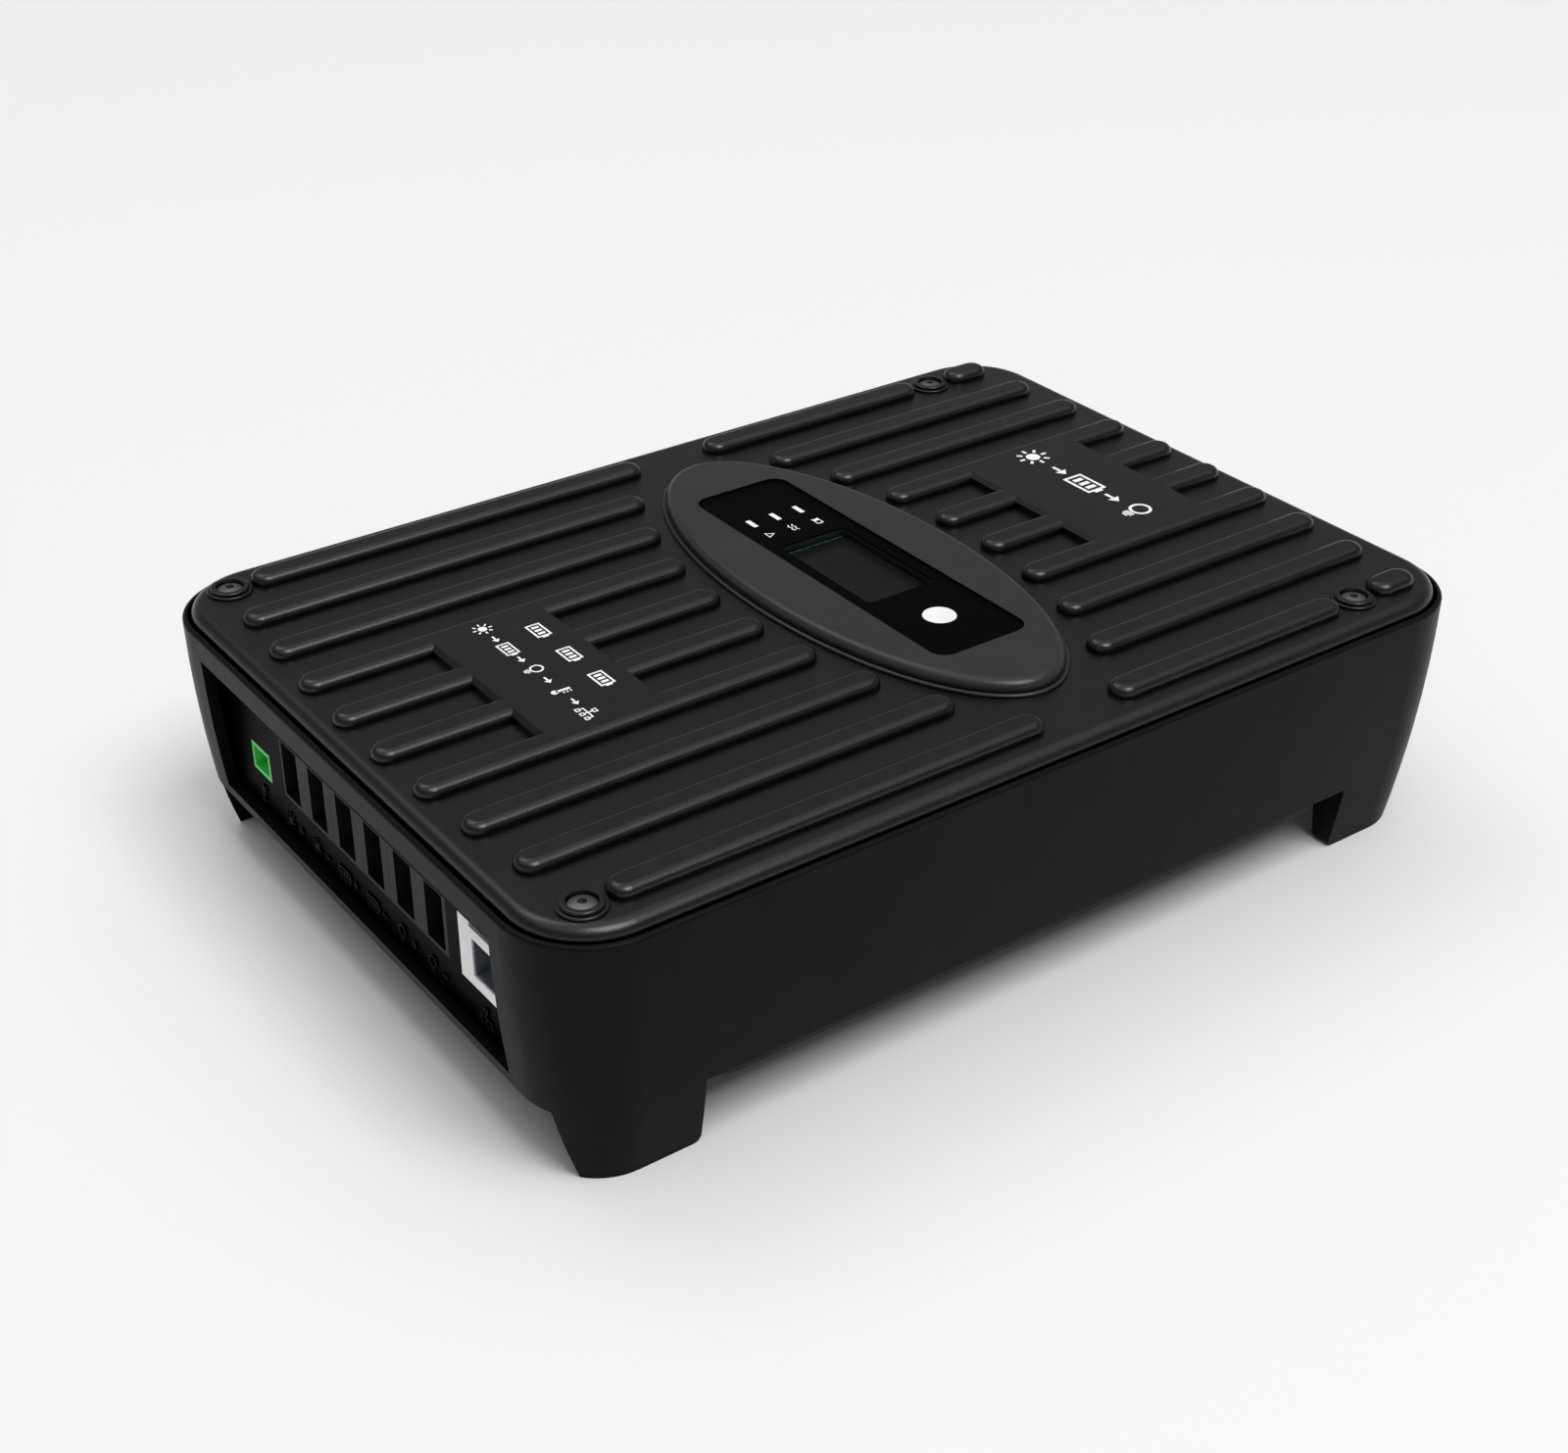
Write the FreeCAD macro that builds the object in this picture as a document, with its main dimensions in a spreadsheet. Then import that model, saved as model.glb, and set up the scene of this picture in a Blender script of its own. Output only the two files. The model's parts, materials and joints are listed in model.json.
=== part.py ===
"""A solar charge controller: a moulded shroud on four feet, a ribbed lid, a finned base plate and the
electronics between them. Millimetres. The origin is the centre of the plane under the feet, +X is the
long way, the terminals are at the -X end and +Z is up."""

import FreeCAD
import Part

import math
import os

import Sketcher

SIZES = {
    # housing
    "housing_length": 238.0,
    "housing_width": 170.0,
    "rim_top": 57.2,
    "corner_radius": 19.0,
    "wall_bow_radius": 305.0,
    "wall": 2.5,
    "wall_bottom": 16.7,
    "lip_width": 1.1,
    "ledge_height": 54.4,
    "ledge_width": 4.0,
    "opening_top": 51.4,
    "opening_bottom": 19.3,
    "opening_half_width": 62.0,
    "foot_inner_end": 86.1,
    "foot_depth_top": 11.7,
    "foot_depth_bottom": 10.0,
    "rim_fillet": 0.8,
    "foot_corner": 2.0,
    "base_post_radius": 3.8,
    "base_post_height": 15.0,
    "lid_screw_hole_depth": 14.0,
    "base_screw_hole_depth": 12.0,
    "web_thickness": 2.5,
    "web_inset_low": 3.9,
    "web_inset_high": 1.6,
    "web_inset_short": 2.8,
    "lid_web_top": 45.0,
    "lid_web_shift": 4.0,
    "base_web_top": 31.0,
    "panel_rib_thickness": 1.7,
    "panel_rib_play": 0.3,
    "panel_rib_inner": 64.0,
    "panel_rib_low": 76.8,
    "panel_rib_high": 79.2,
    "panel_rib_top": 50.0,
    # lid
    "lid_inset": 1.9,
    "lid_top": 59.6,
    "lid_skin": 2.4,
    "lid_edge_fillet": 2.8,
    "skirt": 2.5,
    "rib_top": 62.0,
    "rib_pitch": 16.33,
    "rib_half_width": 3.5,
    "rib_fillet": 1.9,
    "plateau_chamfer": 1.0,
    "left_plateau_start": -84.0,
    "left_plateau_end": -55.5,
    "right_plateau_start": 61.5,
    "right_plateau_end": 95.5,
    "display_hole_half_width": 14.0,
    "display_hole_half_length": 48.0,
    "display_hole_corner": 5.0,
    "boss_depth": 4.0,
    "boss_foot_fillet": 0.3,
    "boss_fillet": 0.4,
    "pit_radius": 3.05,
    "clearance_radius": 1.7,
    "boss_radius": 4.2,
    "boss_foot_radius": 5.0,
    "boss_foot_top": 60.2,
    "boss_top": 60.9,
    "screw_seat": 59.2,
    "screw_left": -105.8,
    "screw_right": 90.9,
    "screw_side": 73.5,
    "post_radius": 4.0,
    # display
    "display_centre": 10.0,
    "oval_half_width": 27.6,
    "oval_half_length": 65.0,
    "oval_flange": 1.0,
    "oval_flange_top": 60.4,
    "oval_top": 62.9,
    "oval_fillet": 2.0,
    "oval_flange_fillet": 0.5,
    "post_root": 0.2,
    "overlay_half_width": 12.25,
    "overlay_half_length": 45.8,
    "overlay_corner": 4.0,
    "overlay_top": 62.5,
    "overlay_bottom": 62.1,
    "overlay_play": 0.1,
    "spigot_half_width": 13.8,
    "spigot_half_length": 47.8,
    "spigot_wall": 1.5,
    "floor_bottom": 59.8,
    "window_centre": -0.9,
    "window_half_width": 9.0,
    "window_half_length": 16.5,
    "window_corner": 1.5,
    "glass_top": 60.3,
    "glass_bottom": 58.5,
    "glass_rim": 0.4,
    "glass_play": 0.15,
    "glass_corner": 0.8,
    "display_board_top": 54.8,
    "display_board_thickness": 1.6,
    "display_board_half_width": 11.8,
    "display_board_half_length": 45.5,
    "display_post_side": 8.0,
    "display_post_along": 40.0,
    "display_post_radius": 2.2,
    "display_screw_radius": 1.0,
    "display_screw_tip": 58.0,
    "display_screw_head_radius": 1.9,
    "display_screw_head_height": 1.3,
    "button_y": -30.2,
    "button_radius": 3.75,
    "button_play": 0.1,
    "button_round": 0.3,
    "brim_bottom": 58.9,
    "brim_top": 59.7,
    "brim_width": 0.95,
    "plunger_bottom": 57.0,
    "plunger_radius": 1.6,
    "switch_half": 3.0,
    "switch_top": 57.6,
    "switch_well_bottom": 56.2,
    "switch_well_play": 0.08,
    "light_y": 29.0,
    "light_pitch": 6.55,
    "light_half_width": 0.6,
    "light_half_length": 1.85,
    "light_play": 0.1,
    "light_pipe_bottom": 56.8,
    "lamp_top": 55.8,
    "lamp_half_width": 0.8,
    "lamp_half_length": 1.6,
    # base plate and boards
    "base_bottom": 12.0,
    "base_top": 17.0,
    "base_half_width": 79.3,
    "base_half_middle": 84.6,
    "base_end_half_width": 69.4,
    "base_end_left": 108.0,
    "base_end_right": 112.0,
    "base_corner": 8.0,
    "base_end_corner": 4.0,
    "base_chamfer": 0.6,
    "base_head_radius": 3.1,
    "base_head_depth": 2.2,
    "tapped_depth": 3.6,
    "fin_bottom": 6.5,
    "fin_thickness": 2.0,
    "fin_pitch": 9.0,
    "fin_half_length": 80.0,
    "base_screw_along": 76.0,
    "base_screw_side": 74.5,
    "wall_mount_along": 70.0,
    "wall_mount_side": 64.0,
    "wall_mount_radius": 2.0,
    "wall_mount_depth": 4.0,
    "board_bottom": 25.9,
    "board_top": 27.5,
    "board_half_width": 68.0,
    "board_left": 109.0,
    "board_right": 106.0,
    "standoff_side": 62.0,
    "metal_screw_radius": 1.5,
    "screw_play": 0.06,
    "screw_head_radius": 2.8,
    "screw_head_height": 1.9,
    "screw_tip": 14.0,
    "base_screw_tip": 28.0,
    "drive_depth": 1.0,
    "drive_radius": 1.1,
    "lid_screw_length": 15.0,
    "lid_head_rim": 0.9,
    "lid_head_rise": 0.58,
    "lid_head_dome": 7.0,
    "lid_drive_radius": 0.9,
    "lid_drive_depth": 1.2,
    "board_corner": 2.0,
    "spacer_radius": 3.2,
    # power stage
    "pad_top": 17.3,
    "transistor_first": 21.0,
    "transistor_pitch": 14.0,
    "transistor_half_width": 5.0,
    "transistor_front": 31.5,
    "transistor_back": 47.0,
    "transistor_top": 21.8,
    "leg_pitch": 2.54,
    "leg_half_width": 0.4,
    "leg_end": 28.0,
    "leg_bottom": 19.0,
    "leg_thickness": 0.6,
    "bar_front": 40.0,
    "bar_back": 48.0,
    "bar_left": 10.0,
    "bar_right": 74.0,
    "clamp_bar_top": 23.8,
    "bar_screw_inset": 4.0,
    "core_x": 48.0,
    "core_y": -28.0,
    "core_low": 29.5,
    "core_high": 43.5,
    "core_radius": 18.0,
    "core_hole_radius": 10.0,
    "can_radius": 9.0,
    "can_top": 51.5,
    "can_left": -60.0,
    "can_right": -38.0,
    "can_side": 48.0,
    "fuse_x": -62.0,
    "shunt_x": -34.0,
    "strap_half_length": 10.0,
    "strap_half_width": 3.0,
    "fuse_top": 42.0,
    "shunt_top": 36.0,
    "shunt_thickness": 1.5,
    "chip_x": 85.0,
    "chip_y": 27.0,
    "chip_half": 7.0,
    "chip_top": 29.1,
    "header_half_width": 3.0,
    "header_half_length": 9.0,
    "header_top": 34.0,
    "header_bottom": 47.2,
    "ribbon_half_thickness": 0.25,
    "ribbon_bend": 9.0,
    "ribbon_width": 14.0,
    # terminal end
    "panel_front": 113.6,
    "panel_thickness": 2.0,
    "panel_half_width": 67.0,
    "panel_bottom": 17.3,
    "panel_top": 57.0,
    "pole_first": 33.0,
    "pole_pitch": 12.6,
    "slot_half_width": 3.55,
    "slot_bottom": 29.0,
    "slot_top": 42.0,
    "block_top": 49.9,
    "block_back": 92.0,
    "cage_half_width": 3.3,
    "cage_front": 107.6,
    "cage_back": 101.4,
    "cage_bottom": 29.4,
    "cage_height": 12.4,
    "bar_bottom": 37.6,
    "bar_top": 38.8,
    "clamp_axis": 104.5,
    "clamp_screw_radius": 1.95,
    "clamp_head_radius": 2.9,
    "clamp_head_room": 3.1,
    "clamp_tip": 39.0,
    "clamp_head_bottom": 47.65,
    "clamp_head_top": 49.7,
    "clamp_slot_bottom": 48.7,
    "clamp_slot_half_width": 0.4,
    "collar_bottom": 46.3,
    "collar_top": 47.5,
    "running_play": 0.05,
    "fit_play": 0.1,
    "nose_low": -34.9,
    "nose_high": 37.4,
    "nose_bottom": 28.1,
    "nose_top": 42.3,
    "room_play": 0.45,
    "cage_inner_half": 2.3,
    "cage_inner_bottom": 30.8,
    "cage_inner_top": 39.2,
    "strip_half_width": 2.0,
    "strip_front": 106.5,
    "strip_back": 89.4,
    "strip_thickness": 1.2,
    "strip_toe": 86.6,
    # sockets
    "jack_low": -58.6,
    "jack_high": -39.8,
    "jack_bottom": 27.6,
    "jack_top": 42.4,
    "jack_back": 98.0,
    "jack_cavity_low": -56.5,
    "jack_cavity_high": -44.7,
    "jack_cavity_bottom": 30.2,
    "jack_cavity_top": 38.9,
    "jack_cavity_back": 101.5,
    "jack_notch_high": -44.0,
    "jack_notch_bottom": 41.3,
    "jack_notch_depth": 3.0,
    "liner_thickness": 0.4,
    "liner_setback": 0.3,
    "jack_wire_pitch": 1.02,
    "jack_wire_half_width": 0.2,
    "jack_wire_front": 110.0,
    "jack_wire_thickness": 0.5,
    "socket_low": 43.9,
    "socket_high": 52.7,
    "socket_bottom": 27.7,
    "socket_top": 34.6,
    "socket_rim": 0.9,
    "socket_floor": 106.0,
    "socket_back": 105.0,
    "pin_pitch": 3.5,
    "pin_half": 0.5,
    "pin_play": 0.05,
    "pin_front": 109.0,
    "pin_back": 103.5,
    "pin_height": 31.15,
}

DOC = FreeCAD.newDocument("charge_controller")
SHEET = DOC.addObject("Spreadsheet::Sheet", "Sizes")
for row, (alias, number) in enumerate(SIZES.items(), start=1):
    SHEET.set(f"A{row}", alias)
    SHEET.set(f"B{row}", str(number))
    SHEET.setAlias(f"B{row}", alias)
DOC.recompute()

V = FreeCAD.Vector
# how far joined shapes reach into each other, and how far cutting shapes reach past a face
ROOT = 1.0
PAST = 1.0
NODES = []


class Size:
    """A length from the sheet: its number, and the formula that binds it to the sheet."""

    def __init__(self, number, formula):
        self.number = float(number)
        self.formula = formula

    def __add__(self, other):
        other = size(other)
        return Size(self.number + other.number, f"({self.formula} + {other.formula})")

    def __sub__(self, other):
        other = size(other)
        return Size(self.number - other.number, f"({self.formula} - {other.formula})")

    def __mul__(self, other):
        other = size(other)
        return Size(self.number * other.number, f"({self.formula} * {other.formula})")

    def __truediv__(self, other):
        other = size(other)
        return Size(self.number / other.number, f"({self.formula} / {other.formula})")

    def __radd__(self, other):
        return size(other) + self

    def __rsub__(self, other):
        return size(other) - self

    def __rmul__(self, other):
        return size(other) * self

    def __neg__(self):
        return size(0) - self


def size(value):
    return value if isinstance(value, Size) else Size(value, f"({float(value)!r})")


class Sheet:
    """The driving sizes by name."""

    def __getattr__(self, name):
        return Size(SIZES[name], f"Sizes.{name}")


S = Sheet()


def bind(thing, path, value):
    """Sets a property of a document object by a formula in the sheet's words."""
    thing.setExpression(path, size(value).formula)


# ---- sketches -------------------------------------------------------------------------------------


def sketch_on(body, role, offset=0):
    """A sketch on one of the body's own planes, moved along the plane's normal."""
    plane = next(f for f in body.Origin.OriginFeatures if f.Role == role)
    sketch = body.newObject("Sketcher::SketchObject", "Sketch")
    sketch.AttachmentSupport = (plane, [""])
    sketch.MapMode = "FlatFace"
    bind(sketch, "AttachmentOffset.Base.z", offset)
    return sketch


def constrain(sketch, kind, *where):
    """Adds a constraint whose last argument is a length, and binds it."""
    value = size(where[-1])
    index = sketch.addConstraint(Sketcher.Constraint(kind, *where[:-1], value.number))
    bind(sketch, f"Constraints[{index}]", value)


def pin_point(sketch, edge, end, x, y):
    constrain(sketch, "DistanceX", -1, 1, edge, end, x)
    constrain(sketch, "DistanceY", -1, 1, edge, end, y)


def outline(sketch, points):
    """A closed outline. Each point is x, y, or x, y, radius where an arc leaves it, with a positive
    radius for an arc that turns left and a negative one for an arc that turns right."""
    ends = []
    for k, point in enumerate(points):
        x0, y0 = size(point[0]).number, size(point[1]).number
        following = points[(k + 1) % len(points)]
        x1, y1 = size(following[0]).number, size(following[1]).number
        if len(point) == 2:
            edge = sketch.addGeometry(Part.LineSegment(V(x0, y0, 0), V(x1, y1, 0)), False)
            ends.append((edge, 1, 2))
            continue
        radius = size(point[2])
        left = radius.number > 0
        if not left:
            x0, y0, x1, y1 = x1, y1, x0, y0
        reach = abs(radius.number)
        chord = math.hypot(x1 - x0, y1 - y0)
        rise = math.sqrt(max(reach**2 - chord**2 / 4, 0)) / chord
        centre = V((x0 + x1) / 2 - (y1 - y0) * rise, (y0 + y1) / 2 + (x1 - x0) * rise, 0)
        start = math.atan2(y0 - centre.y, x0 - centre.x)
        stop = math.atan2(y1 - centre.y, x1 - centre.x)
        stop += 2 * math.pi if stop <= start else 0
        arc = Part.ArcOfCircle(Part.Circle(centre, V(0, 0, 1), reach), start, stop)
        edge = sketch.addGeometry(arc, False)
        ends.append((edge, 1, 2) if left else (edge, 2, 1))
        constrain(sketch, "Radius", edge, radius if left else -radius)
    for k, point in enumerate(points):
        before, here = ends[k - 1], ends[k]
        sketch.addConstraint(Sketcher.Constraint("Coincident", before[0], before[2], here[0], here[1]))
        pin_point(sketch, here[0], here[1], point[0], point[1])


def circle(sketch, x, y, radius):
    x, y, radius = size(x), size(y), size(radius)
    shape = Part.Circle(V(x.number, y.number, 0), V(0, 0, 1), radius.number)
    edge = sketch.addGeometry(shape, False)
    pin_point(sketch, edge, 3, x, y)
    constrain(sketch, "Radius", edge, radius)


def rectangle(sketch, x0, x1, y0, y1):
    outline(sketch, [(x0, y0), (x1, y0), (x1, y1), (x0, y1)])


def rounded(sketch, x0, x1, y0, y1, radius):
    outline(
        sketch,
        [
            (x0 + radius, y0),
            (x1 - radius, y0, radius),
            (x1, y0 + radius),
            (x1, y1 - radius, radius),
            (x1 - radius, y1),
            (x0 + radius, y1, radius),
            (x0, y1 - radius),
            (x0, y0 + radius, radius),
        ],
    )


def slot(sketch, x0, x1, y, radius):
    """A bar along x with half-round ends."""
    x0, x1, y, radius = size(x0), size(x1), size(y), size(radius)
    left, right = x0 + radius, x1 - radius
    low, high = y - radius, y + radius
    lines = []
    for start, stop, level in ((left, right, low), (right, left, high)):
        line = Part.LineSegment(V(start.number, level.number, 0), V(stop.number, level.number, 0))
        lines.append(sketch.addGeometry(line, False))
        pin_point(sketch, lines[-1], 1, start, level)
        pin_point(sketch, lines[-1], 2, stop, level)
    for centre, turn, first, second in ((right, -0.5, 0, 1), (left, 0.5, 1, 0)):
        ring = Part.Circle(V(centre.number, y.number, 0), V(0, 0, 1), radius.number)
        arc = sketch.addGeometry(Part.ArcOfCircle(ring, turn * math.pi, (turn + 1) * math.pi), False)
        sketch.addConstraint(Sketcher.Constraint("Coincident", lines[first], 2, arc, 1))
        sketch.addConstraint(Sketcher.Constraint("Coincident", arc, 2, lines[second], 1))
        constrain(sketch, "DistanceX", -1, 1, arc, 3, centre)


# ---- features -------------------------------------------------------------------------------------


def new_body(name):
    return DOC.addObject("PartDesign::Body", name)


def pad(body, sketch, length, midplane=False):
    feature = body.newObject("PartDesign::Pad", "Pad")
    feature.Profile = sketch
    bind(feature, "Length", length)
    feature.Midplane = midplane
    DOC.recompute()
    return feature


def pocket(body, sketch, length, upwards=False, midplane=False):
    """Cuts against the sketch's normal, or along it when upwards is set, and must remove material."""
    before = body.Tip.Shape.Volume
    feature = body.newObject("PartDesign::Pocket", "Pocket")
    feature.Profile = sketch
    bind(feature, "Length", length)
    feature.Reversed = upwards
    feature.Midplane = midplane
    DOC.recompute()
    if feature.Shape.Volume >= before - 1e-6:
        raise RuntimeError(f"a pocket of {body.Name} cuts nothing")
    return feature


def picked(shape, test):
    """The names of the edges all of whose points pass the test."""
    names = []
    for k, edge in enumerate(shape.Edges, start=1):
        if all(test(p) for p in edge.discretize(5)):
            names.append(f"Edge{k}")
    return names


def fillet(body, radius, test, kind="Fillet", size_name="Radius"):
    base = body.Tip
    feature = body.newObject(f"PartDesign::{kind}", kind)
    feature.Base = (base, picked(base.Shape, test))
    bind(feature, size_name, radius)
    DOC.recompute()
    return feature


def chamfer(body, radius, test):
    return fillet(body, radius, test, "Chamfer", "Size")


def box(name, x0, x1, y0, y1, z0, z1):
    thing = DOC.addObject("Part::Box", name)
    for axis, low, high, side in (("x", x0, x1, "Length"), ("y", y0, y1, "Width"), ("z", z0, z1, "Height")):
        bind(thing, f"Placement.Base.{axis}", low)
        bind(thing, side, size(high) - size(low))
    return thing


def cylinder(name, x, y, z0, z1, radius):
    thing = DOC.addObject("Part::Cylinder", name)
    for axis, value in (("x", x), ("y", y), ("z", z0)):
        bind(thing, f"Placement.Base.{axis}", value)
    bind(thing, "Radius", radius)
    bind(thing, "Height", size(z1) - size(z0))
    return thing


def fuse(name, *things):
    thing = DOC.addObject("Part::MultiFuse", name)
    thing.Shapes = list(things)
    return thing


def cut(name, base, *tools):
    thing = DOC.addObject("Part::Cut", name)
    thing.Base = base
    thing.Tool = tools[0] if len(tools) == 1 else fuse(f"{name}_tools", *tools)
    return thing


def group(name, *things):
    thing = DOC.addObject("Part::Compound", name)
    thing.Links = list(things)
    return thing


def node(thing, label):
    thing.Label = label
    NODES.append(thing)


def plate(name, x0, x1, y0, y1, z0, z1, radius):
    """A flat plate with rounded corners."""
    body = new_body(name)
    sketch = sketch_on(body, "XY_Plane", z0)
    rounded(sketch, size(x0), size(x1), size(y0), size(y1), size(radius))
    pad(body, sketch, size(z1) - size(z0))
    return body


def about(centre, half):
    return centre - half, centre + half


# ---- housing --------------------------------------------------------------------------------------

HALF_X = S.housing_length / 2
HALF_Y = S.housing_width / 2
LID_POSTS = [(x, side * S.screw_side) for x in (S.screw_left, S.screw_right) for side in (-1, 1)]
BASE_POSTS = [(x * S.base_screw_along, y * S.base_screw_side) for x in (-1, 1) for y in (-1, 1)]
FULL = 300.0
THROUGH_LID = 10.0


def bow(height):
    """How far the outer wall curves inwards by this height."""
    return (S.rim_top - height) * (S.rim_top - height) / (2 * S.wall_bow_radius)


def outline_depth(point):
    """Distance of a point inside the housing's rim outline, seen from above."""
    corner = SIZES["corner_radius"]
    x = abs(point.x) - SIZES["housing_length"] / 2 + corner
    y = abs(point.y) - SIZES["housing_width"] / 2 + corner
    return corner - (math.hypot(max(x, 0), max(y, 0)) + min(max(x, y), 0))


def near(value, target, slack=0.02):
    return abs(value - target) < slack


def web(body, x, thickness, inner, outer_low, outer_high, z0, z1):
    """A pair of upright plates that join posts to the side walls."""
    sketch = sketch_on(body, "YZ_Plane", x)
    for side in (-1, 1):
        corners = [(side * inner, z0), (side * outer_low, z0), (side * outer_high, z1), (side * inner, z1)]
        outline(sketch, corners)
    pad(body, sketch, thickness, midplane=True)


def make_shroud():
    body = new_body("shroud")
    path = sketch_on(body, "XY_Plane")
    radius = S.corner_radius
    outline(
        path,
        [
            (HALF_X, 0),
            (HALF_X, HALF_Y - radius, radius),
            (HALF_X - radius, HALF_Y),
            (radius - HALF_X, HALF_Y, radius),
            (-HALF_X, HALF_Y - radius),
            (-HALF_X, radius - HALF_Y, radius),
            (radius - HALF_X, -HALF_Y),
            (HALF_X - radius, -HALF_Y, radius),
            (HALF_X, radius - HALF_Y),
        ],
    )
    section = sketch_on(body, "XZ_Plane")
    lip_inner = HALF_X - S.lip_width
    ledge_inner = HALF_X - S.ledge_width
    inner_bow = S.wall_bow_radius - S.wall
    wall_top = HALF_X - S.wall - bow(S.opening_top)
    wall_low = HALF_X - S.wall - bow(S.wall_bottom)
    outline(
        section,
        [
            (HALF_X - bow(0), 0, S.wall_bow_radius),
            (HALF_X, S.rim_top),
            (lip_inner, S.rim_top),
            (lip_inner, S.ledge_height),
            (ledge_inner, S.ledge_height),
            (ledge_inner, S.opening_top),
            (wall_top, S.opening_top, -inner_bow),
            (wall_low, S.wall_bottom),
            (HALF_X - S.foot_depth_top, S.wall_bottom),
            (HALF_X - S.foot_depth_bottom, 0),
        ],
    )
    pipe = body.newObject("PartDesign::AdditivePipe", "Wall")
    pipe.Profile = section
    pipe.Spine = (path, [])
    pipe.Mode = "Standard"
    DOC.recompute()

    gap = sketch_on(body, "XZ_Plane")
    end, soft = S.foot_inner_end, S.foot_corner
    outline(gap, [(-end - soft, -soft), (end + soft, -soft), (end + soft, 0, -soft), (end, soft),
                  (end, S.wall_bottom), (-end, S.wall_bottom), (-end, soft, -soft), (-end - soft, 0)])
    pocket(body, gap, FULL, midplane=True)
    gap = sketch_on(body, "YZ_Plane")
    top_gap = HALF_Y - S.foot_depth_top
    low_gap = HALF_Y - S.foot_depth_bottom
    outline(gap, [(-low_gap, -soft), (low_gap, -soft), (low_gap, 0), (top_gap, S.wall_bottom),
                  (-top_gap, S.wall_bottom), (-low_gap, 0)])
    pocket(body, gap, FULL, midplane=True)
    opening = sketch_on(body, "YZ_Plane")
    half = S.opening_half_width
    rectangle(opening, -half, half, S.opening_bottom, S.opening_top)
    pocket(body, opening, FULL / 2)

    fillet(body, S.rim_fillet, lambda p: near(p.z, SIZES["rim_top"]) and near(outline_depth(p), 0))

    posts = sketch_on(body, "XY_Plane", S.wall_bottom)
    for x, y in LID_POSTS:
        circle(posts, x, y, S.post_radius)
    pad(body, posts, S.ledge_height - S.wall_bottom)
    posts = sketch_on(body, "XY_Plane", S.base_top)
    for x, y in BASE_POSTS:
        circle(posts, x, y, S.base_post_radius)
    pad(body, posts, S.base_post_height)
    low, high = HALF_Y - S.web_inset_low, HALF_Y - S.web_inset_high
    for x in (S.screw_left + S.lid_web_shift, S.screw_right):
        web(body, x, S.web_thickness, S.screw_side, low, high, S.wall_bottom, S.lid_web_top)
    short = HALF_Y - S.web_inset_short
    for side in (-1, 1):
        x = side * S.base_screw_along
        web(body, x, S.web_thickness, S.base_screw_side, low, short, S.base_top, S.base_web_top)
    # ribs that hold the end panel against the end wall
    thick = S.panel_rib_thickness
    middle = S.panel_front - S.panel_thickness - S.panel_rib_play - thick / 2
    web(body, -middle, thick, S.panel_rib_inner, S.panel_rib_low, S.panel_rib_high, S.wall_bottom,
        S.panel_rib_top)

    holes = sketch_on(body, "XY_Plane", S.ledge_height)
    for x, y in LID_POSTS:
        circle(holes, x, y, S.metal_screw_radius + S.screw_play)
    pocket(body, holes, S.lid_screw_hole_depth)
    holes = sketch_on(body, "XY_Plane", S.base_top)
    for x, y in BASE_POSTS:
        circle(holes, x, y, S.metal_screw_radius + S.screw_play)
    pocket(body, holes, S.base_screw_hole_depth, upwards=True)
    node(body, "shroud")


# each row of ribs, in pitches from the middle: its outer end, and its distance from the display's centre
RIB_ENDS = {0.5: (113.4, 30.9), 1.5: (112.8, 29.05), 2.5: (111.6, 24.95), 3.5: (110.0, 18.75)}
# the ribs nearest the long sides: where each starts and stops
EDGE_RIBS = ((-100.6, 0.7), (19.9, 85.0), (96.4, 108.5))
EDGE_ROW = 4.5


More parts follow.
